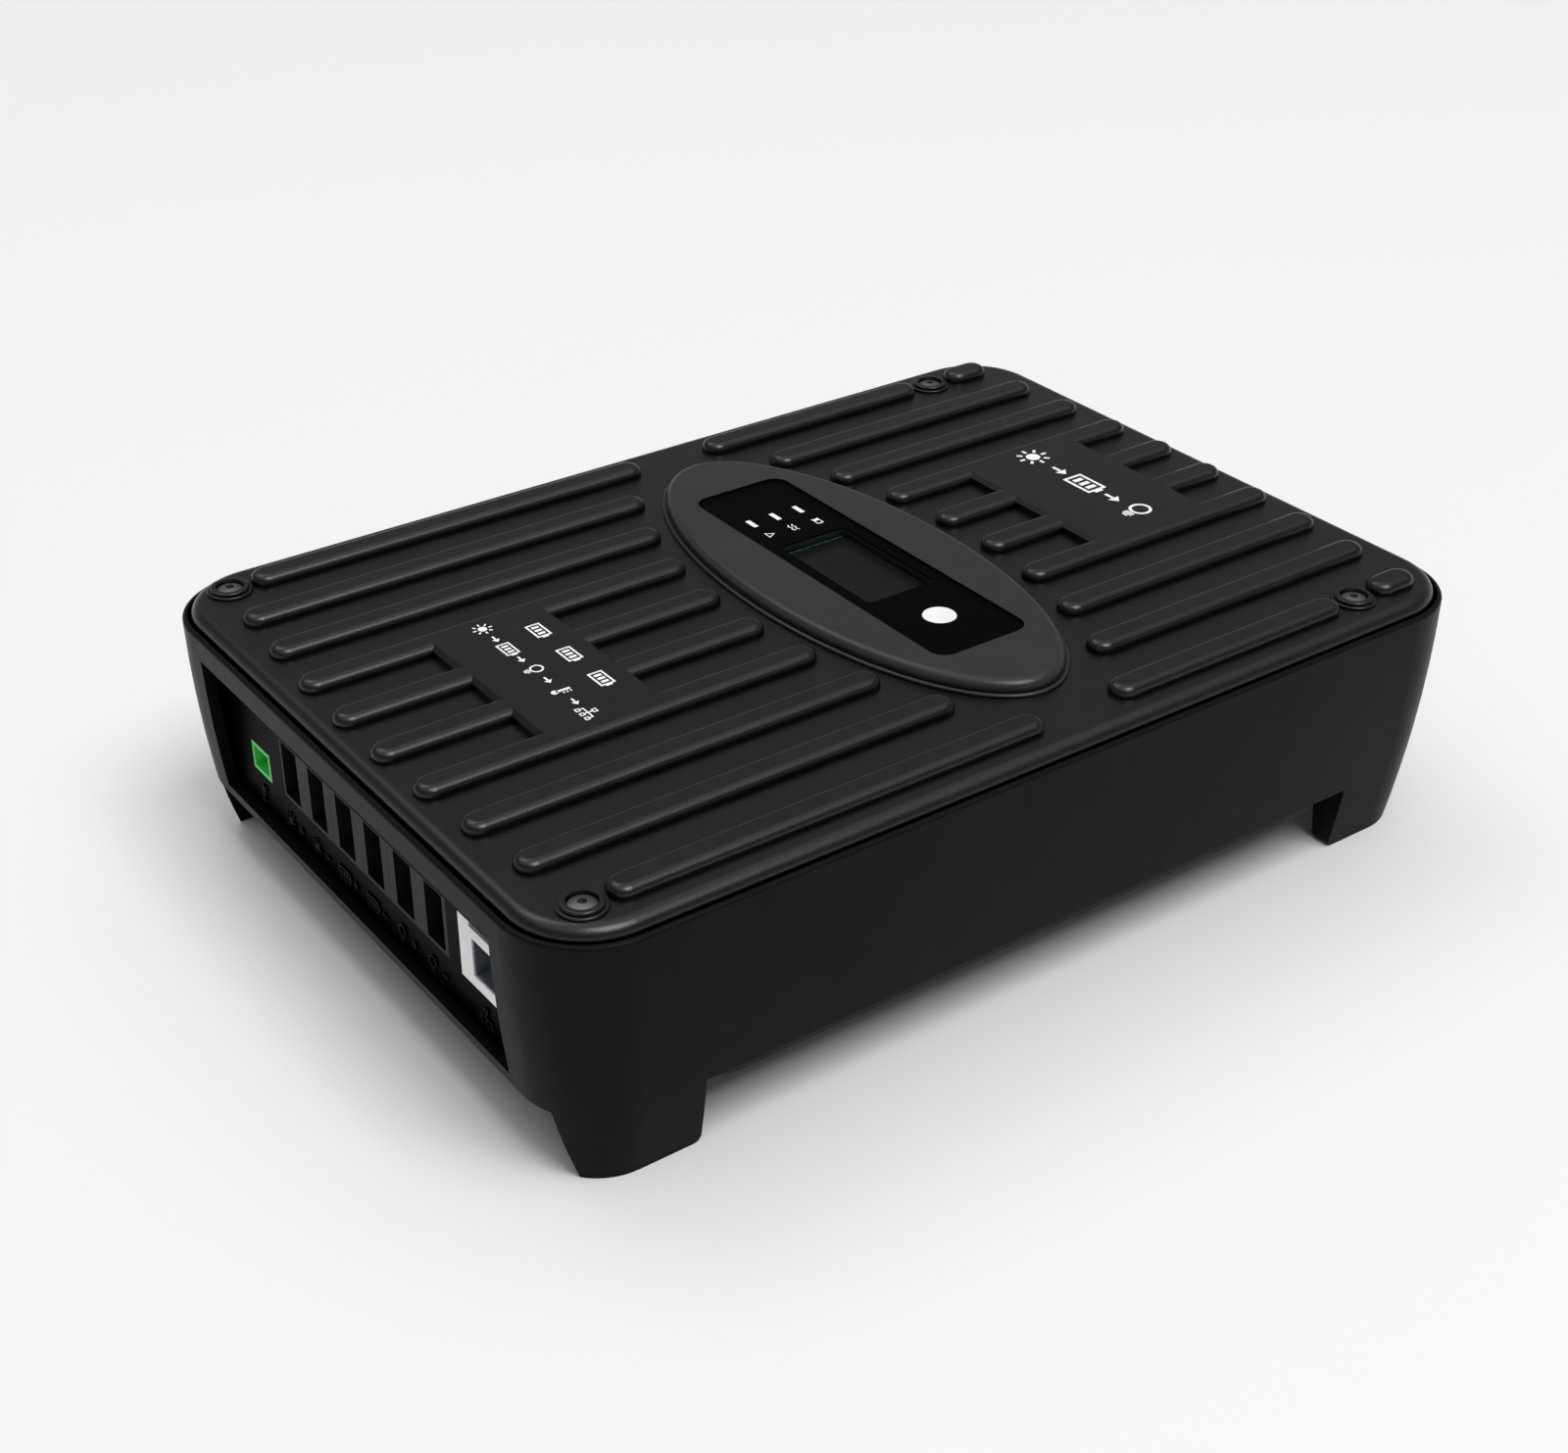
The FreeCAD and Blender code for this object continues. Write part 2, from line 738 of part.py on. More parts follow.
def make_lid():
    body = new_body("lid_shell")
    half_x, half_y = HALF_X - S.lid_inset, HALF_Y - S.lid_inset
    corner = S.corner_radius - S.lid_inset
    sketch = sketch_on(body, "XY_Plane", S.ledge_height)
    rounded(sketch, -half_x, half_x, -half_y, half_y, corner)
    pad(body, sketch, S.lid_top - S.ledge_height)
    fillet(body, S.lid_edge_fillet, lambda p: near(p.z, SIZES["lid_top"]))
    sketch = sketch_on(body, "XY_Plane", S.lid_top - S.lid_skin)
    in_x, in_y = half_x - S.skirt, half_y - S.skirt
    rounded(sketch, -in_x, in_x, -in_y, in_y, corner - S.skirt)
    pocket(body, sketch, THROUGH_LID)
    window = sketch_on(body, "XY_Plane", S.rib_top)
    rounded(window, *about(S.display_centre, S.display_hole_half_width),
            *about(size(0), S.display_hole_half_length), S.display_hole_corner)
    pocket(body, window, THROUGH_LID)

    ribs = sketch_on(body, "XY_Plane", S.lid_top)
    centre = S.display_centre
    for row, (outer, gap) in RIB_ENDS.items():
        for side in (-1, 1):
            y = side * row * S.rib_pitch
            slot(ribs, -outer, centre - gap, y, S.rib_half_width)
            slot(ribs, centre + gap, outer, y, S.rib_half_width)
    for side in (-1, 1):
        for start, stop in EDGE_RIBS:
            slot(ribs, start, stop, side * EDGE_ROW * S.rib_pitch, S.rib_half_width)
    pad(body, ribs, S.rib_top - S.lid_top)
    fillet(body, S.rib_fillet, lambda p: near(p.z, SIZES["rib_top"]))

    for radius, top, soft in ((S.boss_foot_radius, S.boss_foot_top, S.boss_foot_fillet),
                              (S.boss_radius, S.boss_top, S.boss_fillet)):
        rings = sketch_on(body, "XY_Plane", S.lid_top - ROOT)
        for x, y in LID_POSTS:
            circle(rings, x, y, radius)
        pad(body, rings, top - S.lid_top + ROOT)
        height = top.number
        fillet(body, soft, lambda p: near(p.z, height))
    bosses = sketch_on(body, "XY_Plane", S.ledge_height)
    for x, y in LID_POSTS:
        circle(bosses, x, y, S.post_radius)
    pad(body, bosses, S.boss_depth)
    seats = sketch_on(body, "XY_Plane", S.rib_top)
    for x, y in LID_POSTS:
        circle(seats, x, y, S.pit_radius)
    pocket(body, seats, S.rib_top - S.screw_seat)
    holes = sketch_on(body, "XY_Plane", S.rib_top)
    for x, y in LID_POSTS:
        circle(holes, x, y, S.clearance_radius)
    pocket(body, holes, THROUGH_LID)

    parts = [body]
    crest = 1.5 * S.rib_pitch
    top = SIZES["rib_top"]
    for name, x0, x1 in (("plateau_left", S.left_plateau_start, S.left_plateau_end),
                         ("plateau_right", S.right_plateau_start, S.right_plateau_end)):
        raised = new_body(name)
        sketch = sketch_on(raised, "XY_Plane", S.lid_top - ROOT)
        rectangle(sketch, x0, x1, -crest, crest)
        pad(raised, sketch, S.rib_top - S.lid_top + ROOT)
        ends = (x0.number, x1.number)
        chamfer(raised, S.plateau_chamfer,
                lambda p: near(p.z, top) and (near(p.x, ends[0]) or near(p.x, ends[1])))
        parts.append(raised)
    node(fuse("lid", *parts), "top_lid")


# ---- display --------------------------------------------------------------------------------------

LIGHTS = [S.display_centre - 0.6 + k * S.light_pitch for k in (-1, 0, 1)]


def oval(name, half_width, half_length, z0, z1):
    """An upright elliptical disc."""
    ring = DOC.addObject("Part::Ellipse", f"{name}_outline")
    bind(ring, "MajorRadius", half_length)
    bind(ring, "MinorRadius", half_width)
    ring.Placement = FreeCAD.Placement(V(0, 0, 0), FreeCAD.Rotation(V(0, 0, 1), 90))
    bind(ring, "Placement.Base.x", S.display_centre)
    bind(ring, "Placement.Base.z", z0)
    disc = DOC.addObject("Part::Extrusion", name)
    disc.Base = ring
    disc.DirMode = "Custom"
    disc.Dir = V(0, 0, 1)
    disc.Solid = True
    bind(disc, "LengthFwd", size(z1) - size(z0))
    DOC.recompute()
    return disc


def rounded_top(name, base, level, radius):
    """Rounds the edges of a solid that lie at one height."""
    thing = DOC.addObject("Part::Fillet", name)
    thing.Base = base
    height = size(level).number
    edges = picked(base.Shape, lambda p: near(p.z, height))
    start = len("Edge")
    thing.Edges = [(int(edge[start:]), size(radius).number, size(radius).number) for edge in edges]
    return thing


def make_display():
    centre, wide, long = S.display_centre, S.overlay_half_width, S.overlay_half_length
    posts_at = [(centre + x * S.display_post_side, y * S.display_post_along)
                for y in (-1, 1) for x in (-1, 1)]
    make_bezel(centre, wide, long, posts_at)

    screws = []
    tip, seat = S.display_screw_tip, S.display_board_top - S.display_board_thickness
    for k, (x, y) in enumerate(posts_at):
        head = cylinder(f"display_screw_head_{k}", x, y, seat - S.display_screw_head_height, seat,
                        S.display_screw_head_radius)
        shank = cylinder(f"display_screw_shank_{k}", x, y, seat, tip, S.display_screw_radius)
        screws.append(fuse(f"display_screw_{k}", head, shank))
    node(group("display_screws", *screws), "display_board_screws")

    cover = plate("overlay_plate", *about(centre, wide), *about(size(0), long),
                  S.overlay_bottom, S.overlay_top, S.overlay_corner)
    low, high = S.overlay_bottom - PAST, S.overlay_top + PAST
    tools = [plate("overlay_window", *about(centre, S.window_half_width),
                   *about(S.window_centre, S.window_half_length), low, high, S.window_corner)]
    tools += button_and_light_holes("overlay", low, high)
    node(cut("overlay", cover, *tools), "display_overlay")

    glass = (*about(centre, S.window_half_width + S.glass_rim),
             *about(S.window_centre, S.window_half_length + S.glass_rim))
    node(plate("glass", *glass, S.glass_bottom, S.glass_top, S.glass_corner), "lcd_glass")
    node(plate("glass_frame", *glass, S.display_board_top, S.glass_bottom, S.glass_corner), "lcd_frame")

    pipes, lamps = [], []
    for k, x in enumerate(LIGHTS):
        pipes.append(box(f"light_pipe_{k}", *about(x, S.light_half_width),
                         *about(S.light_y, S.light_half_length), S.light_pipe_bottom, S.overlay_top))
        lamps.append(box(f"lamp_{k}", *about(x, S.lamp_half_width),
                         *about(S.light_y, S.lamp_half_length), S.display_board_top, S.lamp_top))
    node(group("light_pipe_group", *pipes), "light_pipes")
    node(group("lamp_group", *lamps), "status_leds")

    make_button(centre)
    board = plate("display_board_plate", *about(centre, S.display_board_half_width),
                  *about(size(0), S.display_board_half_length), seat, S.display_board_top, 1)
    holes = [cylinder(f"display_board_hole_{k}", x, y, seat - PAST, S.display_board_top + PAST,
                      S.display_screw_radius + S.fit_play)
             for k, (x, y) in enumerate(posts_at)]
    node(cut("display_board_drilled", board, *holes), "display_board")


def button_and_light_holes(name, low, high):
    """Cutting shapes for the button and the three light bars."""
    tools = [cylinder(f"{name}_button_hole", S.display_centre, S.button_y, low, high,
                      S.button_radius + S.button_play)]
    for k, x in enumerate(LIGHTS):
        tools.append(box(f"{name}_light_hole_{k}", *about(x, S.light_half_width + S.light_play),
                         *about(S.light_y, S.light_half_length + S.light_play), low, high))
    return tools


def make_bezel(centre, wide, long, posts_at):
    """The oval frame, with a seat for the film on top and a hollow for the display underneath."""
    flange = oval("bezel_flange", S.oval_half_width, S.oval_half_length, S.lid_top, S.oval_flange_top)
    flange = rounded_top("bezel_flange_round", flange, S.oval_flange_top, S.oval_flange_fillet)
    crown = oval("bezel_crown", S.oval_half_width - S.oval_flange, S.oval_half_length - S.oval_flange,
                 S.lid_top, S.oval_top)
    crown = rounded_top("bezel_crown_round", crown, S.oval_top, S.oval_fillet)
    wall = S.spigot_wall
    under = S.lid_top - S.lid_skin
    spigot = plate("bezel_spigot", *about(centre, S.spigot_half_width),
                   *about(size(0), S.spigot_half_length), under, S.lid_top + ROOT, S.display_hole_corner)
    hollow = plate("bezel_hollow", *about(centre, S.spigot_half_width - wall),
                   *about(size(0), S.spigot_half_length - wall), under - PAST, S.floor_bottom,
                   S.display_hole_corner - wall)
    seat = plate("bezel_seat", *about(centre, wide + S.overlay_play), *about(size(0), long + S.overlay_play),
                 S.overlay_bottom, S.oval_top + PAST, S.overlay_corner)
    window = plate("bezel_window", *about(centre, S.window_half_width),
                   *about(S.window_centre, S.window_half_length), S.glass_top, S.oval_top,
                   S.window_corner)
    play = S.glass_rim + S.glass_play
    glass_room = plate("bezel_glass_room", *about(centre, S.window_half_width + play),
                       *about(S.window_centre, S.window_half_length + play), under,
                       S.glass_top + S.glass_play, S.glass_corner)
    holes = button_and_light_holes("bezel", under, S.oval_top)
    shell = cut("bezel_shell", fuse("bezel_solid", flange, crown, spigot), hollow, seat, window, glass_room,
                *holes)
    posts, bores = [], []
    for k, (x, y) in enumerate(posts_at):
        top = S.floor_bottom + S.post_root
        posts.append(cylinder(f"bezel_post_{k}", x, y, S.display_board_top, top, S.display_post_radius))
        bores.append(cylinder(f"bezel_post_hole_{k}", x, y, S.display_board_top - PAST,
                              S.display_screw_tip + PAST, S.display_screw_radius + S.running_play))
    node(cut("bezel", fuse("bezel_with_posts", shell, *posts), *bores), "display_bezel")


def make_button(centre):
    """The push button with its brim and plunger, and the switch that it works."""
    y = S.button_y
    cap = cylinder("button_cap", centre, y, S.brim_top, S.overlay_top, S.button_radius)
    DOC.recompute()
    cap = rounded_top("button_cap_round", cap, S.overlay_top, S.button_round)
    brim = cylinder("button_brim", centre, y, S.brim_bottom, S.brim_top, S.button_radius + S.brim_width)
    node(fuse("button", cap, brim), "push_button")
    node(cylinder("plunger", centre, y, S.plunger_bottom, S.brim_bottom, S.plunger_radius), "switch_plunger")
    case = box("switch_case", *about(centre, S.switch_half), *about(y, S.switch_half),
               S.display_board_top, S.switch_top)
    well = cylinder("switch_well", centre, y, S.switch_well_bottom, S.switch_top + PAST,
                    S.plunger_radius + S.switch_well_play)
    node(cut("switch", case, well), "tact_switch")


# ---- base plate and what stands on it -------------------------------------------------------------

STANDOFFS = [(x, side * S.standoff_side) for x in (-80, 10, 98) for side in (-1, 1)]
BAR_MIDDLE = (S.bar_front + S.bar_back) / 2
CLAMP_SCREWS = [(S.bar_left + S.bar_screw_inset, BAR_MIDDLE), (S.bar_right - S.bar_screw_inset, BAR_MIDDLE)]
TRANSISTORS = [S.transistor_first + k * S.transistor_pitch for k in range(4)]


def make_base():
    body = new_body("base")
    mid_x, mid_y, end_y = S.base_half_middle, S.base_half_width, S.base_end_half_width
    left, right, radius = -S.base_end_left, S.base_end_right, S.base_corner
    small = S.base_end_corner
    sketch = sketch_on(body, "XY_Plane", S.base_bottom)
    outline(
        sketch,
        [
            (radius - mid_x, -mid_y),
            (mid_x - radius, -mid_y, radius),
            (mid_x, radius - mid_y),
            (mid_x, -end_y),
            (right - small, -end_y, small),
            (right, small - end_y),
            (right, end_y - small, small),
            (right - small, end_y),
            (mid_x, end_y),
            (mid_x, mid_y - radius, radius),
            (mid_x - radius, mid_y),
            (radius - mid_x, mid_y, radius),
            (-mid_x, mid_y - radius),
            (-mid_x, end_y),
            (left + small, end_y, small),
            (left, end_y - small),
            (left, small - end_y, small),
            (left + small, -end_y),
            (-mid_x, -end_y),
            (-mid_x, radius - mid_y, radius),
        ],
    )
    pad(body, sketch, S.base_top - S.base_bottom)
    chamfer(body, S.base_chamfer, lambda p: near(p.z, SIZES["base_bottom"]))
    fins = sketch_on(body, "XY_Plane", S.fin_bottom)
    for k in range(-6, 7):
        rectangle(fins, -S.fin_half_length, S.fin_half_length, *about(k * S.fin_pitch, S.fin_thickness / 2))
    pad(body, fins, S.base_bottom - S.fin_bottom + ROOT)
    wall_mounts = [(x * S.wall_mount_along, y * S.wall_mount_side) for x in (-1, 1) for y in (-1, 1)]
    through = S.base_top - S.base_bottom + PAST
    tapped = S.metal_screw_radius + S.screw_play
    for places, radius, depth, level, upwards in (
        (BASE_POSTS, S.clearance_radius, through, S.base_top, False),
        (BASE_POSTS, S.base_head_radius, S.base_head_depth, S.base_bottom, True),
        (wall_mounts, S.wall_mount_radius, S.wall_mount_depth, S.base_bottom, True),
        (STANDOFFS + CLAMP_SCREWS, tapped, S.tapped_depth, S.base_top, False),
    ):
        holes = sketch_on(body, "XY_Plane", level)
        for x, y in places:
            circle(holes, x, y, radius)
        pocket(body, holes, depth, upwards=upwards)
    node(body, "base_plate")


def screw_group(label, places, seat):
    """Cap screws with a hexagon socket, heads up, at each of the places."""
    screws = []
    top = seat + S.screw_head_height
    for k, (x, y) in enumerate(places):
        head = cylinder(f"{label}_head_{k}", x, y, seat, top, S.screw_head_radius)
        shank = cylinder(f"{label}_shank_{k}", x, y, S.screw_tip, seat, S.metal_screw_radius)
        recess = DOC.addObject("Part::Prism", f"{label}_socket_{k}")
        recess.Polygon = 6
        for path, value in (("Placement.Base.x", x), ("Placement.Base.y", y),
                            ("Placement.Base.z", top - S.drive_depth), ("Circumradius", S.drive_radius),
                            ("Height", S.drive_depth + PAST)):
            bind(recess, path, value)
        screws.append(cut(f"{label}_{k}", fuse(f"{label}_blank_{k}", head, shank), recess))
    node(group(f"{label}_group", *screws), label)


def make_lid_screws():
    """Domed screws, heads up."""
    screws = []
    tip = S.screw_seat - S.lid_screw_length
    crown = S.screw_seat + S.lid_head_rim
    for k, (x, y) in enumerate(LID_POSTS):
        body = new_body(f"lid_screw_{k}")
        sketch = sketch_on(body, "XZ_Plane")
        head, radius = S.screw_head_radius, S.metal_screw_radius
        outline(sketch, [(0, tip), (radius, tip), (radius, S.screw_seat), (head, S.screw_seat),
                         (head, crown, S.lid_head_dome), (0, crown + S.lid_head_rise)])
        turned = body.newObject("PartDesign::Revolution", "Turned")
        turned.Profile = sketch
        turned.ReferenceAxis = (sketch, ["V_Axis"])
        turned.Angle = 360
        DOC.recompute()
        recess = sketch_on(body, "XY_Plane", S.boss_top)
        circle(recess, 0, 0, S.lid_drive_radius)
        pocket(body, recess, S.lid_drive_depth)
        bind(body, "Placement.Base.x", x)
        bind(body, "Placement.Base.y", y)
        screws.append(body)
    node(group("lid_screw_group", *screws), "lid_screws")


def make_boards():
    low, high = S.board_bottom, S.board_top
    board = plate("main_board_plate", -S.board_left, S.board_right, *about(size(0), S.board_half_width),
                  low, high, S.board_corner)
    bore = S.clearance_radius
    holes = [cylinder(f"board_hole_{k}", x, y, low - PAST, high + PAST, bore)
             for k, (x, y) in enumerate(STANDOFFS)]
    node(cut("main_board_drilled", board, *holes), "main_board")
    spacers = []
    for k, (x, y) in enumerate(STANDOFFS):
        outer = cylinder(f"spacer_outer_{k}", x, y, S.base_top, low, S.spacer_radius)
        inner = cylinder(f"spacer_inner_{k}", x, y, S.base_top - PAST, low + PAST, bore)
        spacers.append(cut(f"spacer_{k}", outer, inner))
    node(group("spacer_group", *spacers), "board_standoffs")
    screw_group("board_screws", STANDOFFS, high)

    screws = []
    seat = S.base_bottom + S.base_head_depth
    under = seat - S.screw_head_height
    for k, (x, y) in enumerate(BASE_POSTS):
        head = cylinder(f"base_screw_head_{k}", x, y, under, seat, S.screw_head_radius)
        shank = cylinder(f"base_screw_shank_{k}", x, y, seat, S.base_screw_tip, S.metal_screw_radius)
        recess = cylinder(f"base_screw_socket_{k}", x, y, under - PAST, under + S.drive_depth,
                          S.drive_radius)
        screws.append(cut(f"base_screw_{k}", fuse(f"base_screw_blank_{k}", head, shank), recess))
    node(group("base_screw_group", *screws), "base_screws")


def make_transistors():
    """Four transistors on a thermal pad, held down by one bar."""
    half, front, back = S.transistor_half_width, S.transistor_front, S.transistor_back
    node(box("pad_sheet", S.transistor_first - half, TRANSISTORS[-1] + half, front, back,
             S.base_top, S.pad_top), "thermal_pad")
    low, high = S.leg_bottom, S.leg_bottom + S.leg_thickness
    for k, x in enumerate(TRANSISTORS, start=1):
        case = box(f"transistor_case_{k}", *about(x, half), front, back, S.pad_top, S.transistor_top)
        legs = []
        for j in range(3):
            sides = about(x + (j - 1) * S.leg_pitch, S.leg_half_width)
            end = S.leg_end
            legs.append(box(f"leg_{k}_{j}", *sides, end, front + ROOT, low, high))
            legs.append(box(f"leg_up_{k}_{j}", *sides, end, end + S.leg_thickness, low, S.board_bottom))
        node(fuse(f"transistor_{k}", case, *legs), f"power_transistor_{k}")
    low, high = S.transistor_top, S.clamp_bar_top
    bar = box("clamp_bar", S.bar_left, S.bar_right, S.bar_front, S.bar_back, low, high)
    holes = [cylinder(f"clamp_hole_{k}", x, y, low - PAST, high + PAST, S.clearance_radius)
             for k, (x, y) in enumerate(CLAMP_SCREWS)]
    node(cut("clamp_bar_drilled", bar, *holes), "transistor_clamp_bar")
    screw_group("clamp_bar_screws", CLAMP_SCREWS, high)


def make_power_stage():
    x, y, low, high = S.core_x, S.core_y, S.core_low, S.core_high
    ring = cylinder("core_outer", x, y, low, high, S.core_radius)
    hole = cylinder("core_inner", x, y, low - PAST, high + PAST, S.core_hole_radius)
    node(cut("core", ring, hole), "inductor_core")
    node(winding(), "inductor_winding")
    for side, name in ((1, "pv"), (-1, "battery")):
        for k, x in enumerate((S.can_left, S.can_right), start=1):
            can = cylinder(f"{name}_can_{k}", x, side * S.can_side, S.board_top, S.can_top, S.can_radius)
            node(can, f"{name}_capacitor_{k}")

    half_x, half_y = S.strap_half_length, S.strap_half_width
    node(box("fuse_case", *about(S.fuse_x, half_x), *about(size(0), half_y), S.board_top, S.fuse_top),
         "battery_fuse")
    thick = S.shunt_thickness
    strap = box("shunt_strap", *about(S.shunt_x, half_x), *about(size(0), half_y), S.board_top, S.shunt_top)
    gap = box("shunt_gap", *about(S.shunt_x, half_x - thick), *about(size(0), half_y + PAST),
              S.board_top - PAST, S.shunt_top - thick)
    node(cut("shunt", strap, gap), "current_shunt")
    node(box("chip", *about(S.chip_x, S.chip_half), *about(S.chip_y, S.chip_half), S.board_top, S.chip_top),
         "control_chip")


def winding():
    """Turns of flat wire around the ring core: one closed loop for each turn."""
    gap, wire, turns = 0.2, 1.2, 18
    low, high = SIZES["core_low"] - gap, SIZES["core_high"] + gap
    inner, outer = SIZES["core_hole_radius"] - gap, SIZES["core_radius"] + gap
    loops = []
    for k in range(turns):
        outside = Part.makeBox(outer - inner + 2 * wire, wire, high - low + 2 * wire,
                               V(inner - wire, -wire / 2, low - wire))
        inside = Part.makeBox(outer - inner, 3 * wire, high - low, V(inner, -1.5 * wire, low))
        loop = outside.cut(inside)
        loop.rotate(V(0, 0, 0), V(0, 0, 1), 360 * (k + 0.5) / turns)
        loops.append(loop)
    thing = DOC.addObject("Part::Feature", "winding")
    thing.Shape = Part.makeCompound(loops)
    bind(thing, "Placement.Base.x", S.core_x)
    bind(thing, "Placement.Base.y", S.core_y)
    return thing


def make_ribbon():
    x, thick, bend = S.display_centre, S.ribbon_half_thickness, S.ribbon_bend
    low, high = S.header_top, S.header_bottom
    sides = (*about(x, S.header_half_width), *about(size(0), S.header_half_length))
    node(box("main_header", *sides, S.board_top, low), "ribbon_header_main")
    node(box("display_header", *sides, high, S.display_board_top - S.display_board_thickness),
         "ribbon_header_display")
    body = new_body("ribbon")
    sketch = sketch_on(body, "XZ_Plane")
    outline(sketch, [(x - thick, low), (x + thick, low, bend), (x + thick, high), (x - thick, high, -bend)])
    pad(body, sketch, S.ribbon_width, midplane=True)
    node(body, "display_ribbon")


# ---- terminal end ---------------------------------------------------------------------------------

POLES = [S.pole_first - k * S.pole_pitch for k in range(6)]
BLOCKS = ("pv", "battery", "load")
JACK = (S.jack_low, S.jack_high, S.jack_bottom, S.jack_top)
CAVITY = (S.jack_cavity_low, S.jack_cavity_high, S.jack_cavity_bottom, S.jack_cavity_top)
SOCKET = (S.socket_low, S.socket_high, S.socket_bottom, S.socket_top)


def grown(sides, margin):
    """The low and high y and z of a cross-section, moved outwards by a margin."""
    low_y, high_y, low_z, high_z = sides
    return low_y - margin, high_y + margin, low_z - margin, high_z + margin


def make_blocks():
    """Three two-pole terminal blocks whose noses reach through the end panel."""
    front, back = -S.panel_front, -S.block_back
    behind = front + S.panel_thickness + S.fit_play
    play = S.fit_play
    for pair, name in enumerate(BLOCKS):
        first, second = POLES[2 * pair], POLES[2 * pair + 1]
        low_y, high_y = second - S.pole_pitch / 2 + play / 2, first + S.pole_pitch / 2 - play / 2
        nose_low = S.nose_low if pair == 2 else low_y
        nose_high = S.nose_high if pair == 0 else high_y
        case = box(f"{name}_case", behind, back, low_y, high_y, S.board_top, S.block_top)
        nose = box(f"{name}_nose", front, behind + ROOT, nose_low, nose_high, S.nose_bottom, S.nose_top)
        tools = []
        for k, y in enumerate((first, second)):
            tag = f"{name}_{k}"
            room = (*about(y, S.cage_half_width + S.room_play), S.cage_bottom - play, S.collar_bottom)
            bar = (*about(y, S.strip_half_width + play), S.bar_bottom - play, S.bar_top + play)
            tools += [
                box(f"{tag}_slot", front - PAST, -S.cage_front, *about(y, S.slot_half_width),
                    S.slot_bottom, S.slot_top),
                box(f"{tag}_room", -S.cage_front - S.room_play, -S.cage_back + S.room_play, *room),
                box(f"{tag}_bar_way", -S.cage_back, back + PAST, *bar),
                cylinder(f"{tag}_collar", -S.clamp_axis, y, S.collar_bottom - PAST, S.collar_top + PAST,
                         S.clamp_screw_radius + S.running_play),
                cylinder(f"{tag}_head_room", -S.clamp_axis, y, S.collar_top, S.block_top + PAST,
                         S.clamp_head_room),
            ]
        node(cut(f"{name}_block", fuse(f"{name}_blank", case, nose), *tools), f"terminal_block_{name}")


def make_clamps():
    """For each pole: a contact strip, a cage that rises under it, and the screw that lifts the cage."""
    contacts = []
    back, thick = S.strip_back, S.strip_thickness
    cage_top = S.cage_bottom + S.cage_height
    thread = S.clamp_screw_radius + S.running_play
    for k, y in enumerate(POLES, start=1):
        sides = about(y, S.strip_half_width)
        strip = box(f"strip_{k}", -S.strip_front, -back, *sides, S.bar_bottom, S.bar_top)
        leg = box(f"strip_leg_{k}", -back - thick, -back, *sides, S.board_top, S.bar_top)
        toe = box(f"strip_toe_{k}", -back - thick, -S.strip_toe, *sides, S.board_top, S.board_top + thick)
        contacts.append(fuse(f"contact_{k}", strip, leg, toe))

        outer = box(f"cage_outer_{k}", -S.cage_front, -S.cage_back, *about(y, S.cage_half_width),
                    S.cage_bottom, cage_top)
        inner = box(f"cage_inner_{k}", -S.cage_front - PAST, -S.cage_back + PAST,
                    *about(y, S.cage_inner_half), S.cage_inner_bottom, S.cage_inner_top)
        bore = cylinder(f"cage_thread_{k}", -S.clamp_axis, y, S.cage_inner_top - PAST, cage_top + PAST,
                        thread)
        node(cut(f"cage_{k}", outer, inner, bore), f"clamp_cage_{k}")

        shank = cylinder(f"clamp_shank_{k}", -S.clamp_axis, y, S.clamp_tip, S.clamp_head_bottom,
                         S.clamp_screw_radius)
        head = cylinder(f"clamp_head_{k}", -S.clamp_axis, y, S.clamp_head_bottom, S.clamp_head_top,
                        S.clamp_head_radius)
        drive = box(f"clamp_drive_{k}", *about(-S.clamp_axis, S.clamp_head_radius + PAST),
                    *about(y, S.clamp_slot_half_width), S.clamp_slot_bottom, S.clamp_head_top + PAST)
        node(cut(f"clamp_screw_cut_{k}", fuse(f"clamp_screw_blank_{k}", shank, head), drive),
             f"terminal_screw_{k}")
    node(group("contact_group", *contacts), "terminal_contacts")


def make_end_panel():
    front, back = -S.panel_front, -S.panel_front + S.panel_thickness
    sheet = box("panel_sheet", front, back, *about(size(0), S.panel_half_width), S.panel_bottom, S.panel_top)
    nose = (S.nose_low, S.nose_high, S.nose_bottom, S.nose_top)
    windows = [box(f"panel_{name}_window", front - PAST, back + PAST, *grown(sides, S.fit_play))
               for name, sides in (("terminal", nose), ("jack", JACK), ("socket", SOCKET))]
    node(cut("panel", sheet, *windows), "end_panel")


def make_jack():
    """The modular jack: a white case notched along its top, a dark liner and eight contacts."""
    front, back = -S.panel_front, -S.jack_cavity_back
    case = box("jack_case", front, -S.jack_back, *JACK)
    cavity = box("jack_cavity", front - PAST, back, *CAVITY)
    notch = box("jack_notch", front - PAST, front + S.jack_notch_depth, S.jack_low - PAST,
                S.jack_notch_high, S.jack_notch_bottom, S.jack_top + PAST)
    node(cut("jack", case, cavity, notch), "comms_jack")

    thick = S.liner_thickness
    sleeve = box("liner_sleeve", front + S.liner_setback, back, *CAVITY)
    room = box("liner_room", front - PAST, back - thick, *grown(CAVITY, -thick))
    floor = S.jack_cavity_bottom + thick
    middle = (S.jack_cavity_low + S.jack_cavity_high) / 2
    places = [middle + (k - 3.5) * S.jack_wire_pitch for k in range(8)]
    wires = [box(f"jack_wire_{k}", -S.jack_wire_front, back - thick, *about(y, S.jack_wire_half_width),
                 floor, floor + S.jack_wire_thickness)
             for k, y in enumerate(places)]
    node(cut("liner", sleeve, room), "comms_liner")
    node(group("jack_wires", *wires), "comms_contacts")


